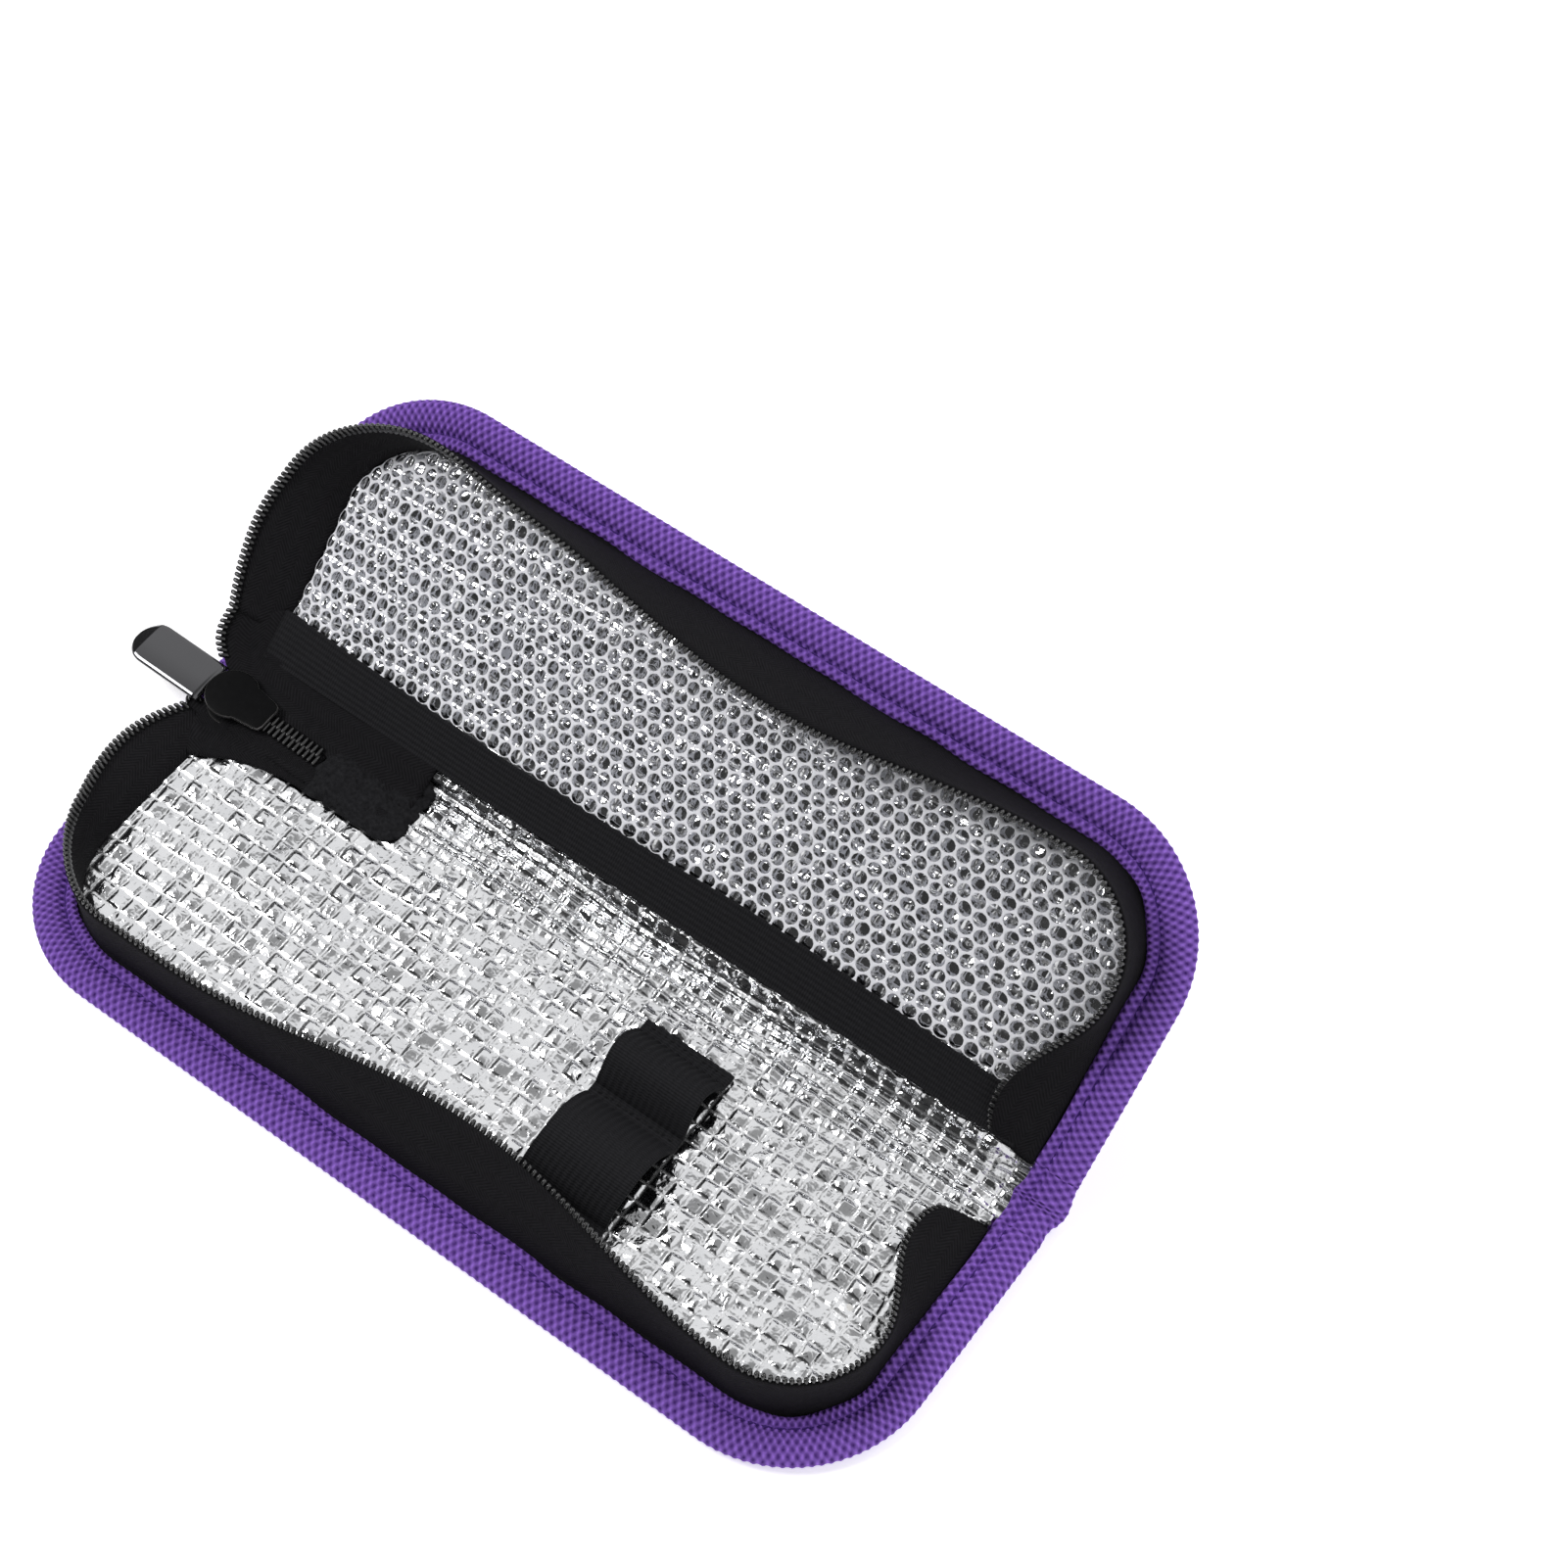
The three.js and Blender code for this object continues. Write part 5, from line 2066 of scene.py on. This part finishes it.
    def patch(self) -> None:
        """Makes the brushed patch over the zip's sewn end."""
        start, end = -self.patch_base, self.fold.arc + self.patch_lid
        left, right = self.patch_left, self.patch_left + self.patch_length
        rows, columns = self.patch_grid
        s, x = np.meshgrid(np.linspace(start, end, rows), np.linspace(left, right, columns), indexing="ij")
        near = np.clip(1 - np.minimum(s - start, end - s) / self.patch_round, 0, 1)
        x = x - self.patch_round * (1 - np.sqrt(1 - near**2)) * (x - left) / self.patch_length
        pile = Crumple(Seed.PATCH)
        edge = smoothstep(0, self.patch_edge, x - left) * smoothstep(0, self.patch_edge, right - x)
        edge = edge * smoothstep(0, self.patch_edge, s - start) * smoothstep(0, self.patch_lid_edge, end - s)
        over_chain = bump_window((s + self.slider_at[1]) / self.swell_reach)
        over_chain = over_chain * (1 - smoothstep(*self.swell_run, x - left))
        fuzz = sum(height * pile.at(x, s, length) for height, length in self.patch_fuzz)
        rag = self.patch_rag * pile.at(x + self.rag_shift, s, self.rag_length) * (1 - edge)
        top = self.lining_top + self.patch_rise + (self.patch_pile + fuzz) * edge
        top = top + self.swell * over_chain
        faces = [self.fold.over(x + rag, s + rag, z) for z in (top, self.lining_top + self.patch_low)]
        draft = Draft()
        draft.slab(*faces, cloth_rows(x, s))
        piece = draft.make("zip_end_pile_patch", PATCH_PILE)
        self.fold.wrap(piece)
        finish_piece(piece, "patch_felt", "zip_end_patch")
        declare_sheet(end - start, self.patch_length)

    def bottle(self, inset: float) -> Array:
        """Outline of a slider plate: a round head at the mouth and a narrow tail.

        Args:
            inset: Distance in from the outline.

        Returns:
            Rows of along and across.
        """
        radius, slim = self.head_radius - inset, self.tail_half - inset
        head, tail = self.head_radius - self.slider_length / 2, self.slider_length / 2 - inset
        shoulder = math.radians(self.head_turn)
        turn = np.linspace(shoulder, 2 * math.pi - shoulder, self.head_points)
        arc = np.stack([head + radius * np.cos(turn), radius * np.sin(turn)], -1)
        waist = (arc[0, 0] + tail) / 2
        bow, cut, run = self.neck_bow, self.tail_cut, self.tail_run
        bends = [arc[-1], (waist + self.neck_shift, -slim - bow), (tail - run, -slim)]
        neck = curve_through(bends, self.neck_points)[1:]
        corner = np.array([[tail - cut, -slim + cut], [tail, -slim + run]])
        side = np.vstack([neck, corner])
        return np.vstack([arc, side, side[::-1] * np.array([1, -1])])

    def slider(self) -> None:
        """Makes the slider: two plates on a post, with a bridge under its mouth for the tab."""
        edge, top = self.plate_edge, self.plate_thickness
        turns = np.linspace(0, math.pi / 2, self.edge_points)
        insets = np.concatenate([edge * (1 - np.sin(turns)), edge * (1 - np.cos(turns))])
        levels = np.concatenate([edge * (1 - np.cos(turns)), top - edge * (1 - np.sin(turns))])
        # Share of the painted rim highlight at each ring of the rounded edge, 1 at the outermost edge,
        # carried in the cloth attribute.
        rim_share = np.concatenate([np.sin(turns), np.cos(turns)])
        plates = [self.bottle(inset) for inset in insets]
        rim_mask = np.repeat(np.stack([rim_share, 0 * rim_share], -1)[:, None], len(plates[0]), 1)
        draft = Draft()
        for side in (1, -1):
            heights = side * (self.plate_low + levels)
            rings = [self.at(*plate.T, height) for plate, height in zip(plates, heights)]
            draft.loft(np.array(rings), rim_mask, flip=side < 0)
        a, b, c = self.axes()
        post = [axis * size for axis, size in zip((a, c, b), self.post_sizes)]
        bridge = [axis * size for axis, size in zip((b, a, c), self.bridge_sizes)]
        draft.stamp(POST_FORM, self.at(*self.post_at), post)
        draft.stamp(POST_FORM, self.at(*self.bridge_at), bridge)
        draft.fit("zip_slider_body", SLIDER_ENAMEL, "slider", "slider_metal", "zip_slider")

    def tab(self) -> None:
        """Makes the pull tab, crowned across and turned down at its lip."""
        tip = self.pivot - self.tab_length
        round_at, lip_at = tip + self.tab_half, tip + self.tab_lip
        turns = np.linspace(self.tip_turn, math.pi / 2, self.tip_rings)
        tip_runs = tip + self.tab_half * (1 - np.cos(turns))
        crease = [lip_at - self.tab_crease, lip_at + self.tab_crease]
        shank = np.linspace(round_at + self.shank_gap, self.tab_root, self.shank_rings)
        flat = np.linspace(-self.tab_flat, self.tab_flat, self.tab_points)
        face, rim, fall = np.ones(self.tab_points), np.array(self.tab_rim), np.array(self.tab_fall)
        sides = np.concatenate([flat, rim, flat[::-1], -rim])
        rise = np.concatenate([face, fall, -face, -fall])
        rings = []
        for run in np.unique(np.concatenate([tip_runs, crease, shank])):
            into = max(round_at - run, 0.0)
            wide = math.sqrt(max(self.tab_half**2 - into**2, self.tip_least))
            drop = max(lip_at - run, 0.0) * self.tab_bend
            crown = self.tab_crown * (sides * wide / self.tab_half) ** 2 * (rise > 0)
            rings.append(self.at(run, sides * wide, rise * self.tab_thick / 2 - crown - drop))
        draft = Draft()
        draft.loft(np.array(rings))
        pin = [axis * size for axis, size in zip(self.axes(), self.pin_sizes)]
        draft.stamp(PIN_FORM, self.at(self.pivot, 0.0, self.pin_drop), pin)
        draft.fit("pull_tab_plate", TAB_NICKEL, "pull", "slider_metal", "pull_tab")

    def build(self) -> None:
        """Makes the zip's parked end."""
        self.tail()
        self.webs()
        self.patch()
        self.slider()
        self.tab()


@dataclass
class Studio:
    """Camera, floor and soft lights."""

    focal_px: float = 3153.0
    frame_px: float = 1601.0
    sensor_mm: float = 36.0
    distance: float = 602.4
    azimuth: float = 36.48
    elevation: float = 58.17
    target: Triple = (5.28, 81.6, 0.0)
    light_target: Triple = (0.0, 0.03, 0.01)
    lights: tuple = (
        ("key_light", (-0.5, -0.2, 0.75), 0.3, 4.2),
        ("rim_light", (0.35, 0.75, 0.65), 0.3, 1.2),
    )
    floor_reach: float = 3000.0
    floor_drop: float = 0.05
    tent: float = 0.92
    tent_front: float = 0.88
    front_axis: Triple = (-0.31, -0.74, 0.6)
    front_edge: Pair = (0.70, 0.84)
    tent_roof: float = 0.6
    roof_edge: Pair = (0.86, 0.97)
    tent_side: float = 0.85
    side_fall: float = 0.3
    side_edge: Pair = (0.5, 0.75)
    tent_least: float = 0.04

    def eye(self) -> Vector:
        """Camera's place in metres."""
        a, e = math.radians(self.azimuth), math.radians(self.elevation)
        back = Vector((math.sin(a) * math.cos(e), -math.cos(a) * math.cos(e), math.sin(e)))
        return (Vector(self.target) + back * self.distance) * MM

    @staticmethod
    def aim(name: str, data: bpy.types.ID, place: Vector, target: Vector) -> Piece:
        """Adds a camera or a light that looks at a point.

        Args:
            name: The object's name.
            data: The camera or light.
            place: Where it stands, in metres.
            target: What it looks at.

        Returns:
            The new object.
        """
        made = bpy.data.objects.new(name, data)
        made.location = place
        made.rotation_euler = (target - made.location).to_track_quat("-Z", "Y").to_euler()
        bpy.context.scene.collection.objects.link(made)
        return made

    def camera(self) -> None:
        """Sets the camera that matches the viewing angle."""
        data = bpy.data.cameras.new("camera")
        data.sensor_width = self.sensor_mm
        data.lens = self.focal_px / self.frame_px * self.sensor_mm
        bpy.context.scene.camera = self.aim("camera", data, self.eye(), Vector(self.target) * MM)

    def light(self, name: str, place: Sequence[float], size: float, power: float) -> None:
        """Adds a square soft light aimed at the case.

        Args:
            name: The light's name.
            place: Where it stands, in metres.
            size: Its width.
            power: Its power in watts.
        """
        data = bpy.data.lights.new(name, "AREA")
        data.size = size
        data.energy = power
        self.aim(name, data, Vector(place), Vector(self.light_target))

    def floor(self) -> None:
        """Lays the pale seamless floor."""
        square = np.array([[-1, -1], [1, -1], [1, 1], [-1, 1]]) * self.floor_reach
        draft = Draft()
        draft.add(np.column_stack([square, np.full(4, -self.floor_drop)]), [(0, 1, 2, 3)], square)
        draft.make("studio_floor", FloorPaper())

    def world(self) -> None:
        """Makes a light tent with dark openings at the front and the left, and a dim roof."""
        graph = Graph(bpy.data.worlds.new("light_tent"), "Background")
        x, y, z = graph.split(graph.node("ShaderNodeTexCoord", {}, {}, "Generated"))
        ax, ay, az = self.front_axis
        front = graph.ramp(x * ax + y * ay + z * az, *self.front_edge)
        side = graph.ramp(x * -1.0 - z * self.side_fall, *self.side_edge)
        roof = graph.ramp(z, *self.roof_edge)
        level = self.tent - front * self.tent_front - roof * self.tent_roof - side * self.tent_side
        strength = level.at_least(self.tent_least)
        bpy.context.scene.world = graph.surface(Color=(1.0, 1.0, 1.0), Strength=strength)

    def build(self) -> None:
        """Sets camera, floor, world and lights."""
        self.camera()
        self.floor()
        self.world()
        bpy.context.scene.view_settings.view_transform = "Standard"
        for light in self.lights:
            self.light(*light)


def fold_from(joints: dict[str, dict]) -> Fold:
    """Reads the fold from the frame.

    Args:
        joints: The frame's joints by name.

    Returns:
        The fold, in millimetres.
    """
    hinge = joints["lid_fold"]
    _, y, z = hinge["pos_m"]
    return Fold(y / MM, z / MM, math.radians(-hinge["range_deg"][0]))


def main() -> None:
    """Builds the whole case round its frame."""
    logging.basicConfig(level=logging.INFO, format="%(message)s")
    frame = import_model()
    joints = {joint["name"]: joint for joint in frame["joints"]}
    fold = fold_from(joints)
    Studio().build()
    Panels(fold).build()
    Binding(fold).build()
    ZipWalls(fold).build()
    Elastics(fold).build()
    ZipEnd(fold, joints).build()


if __name__ == "__main__":
    main()
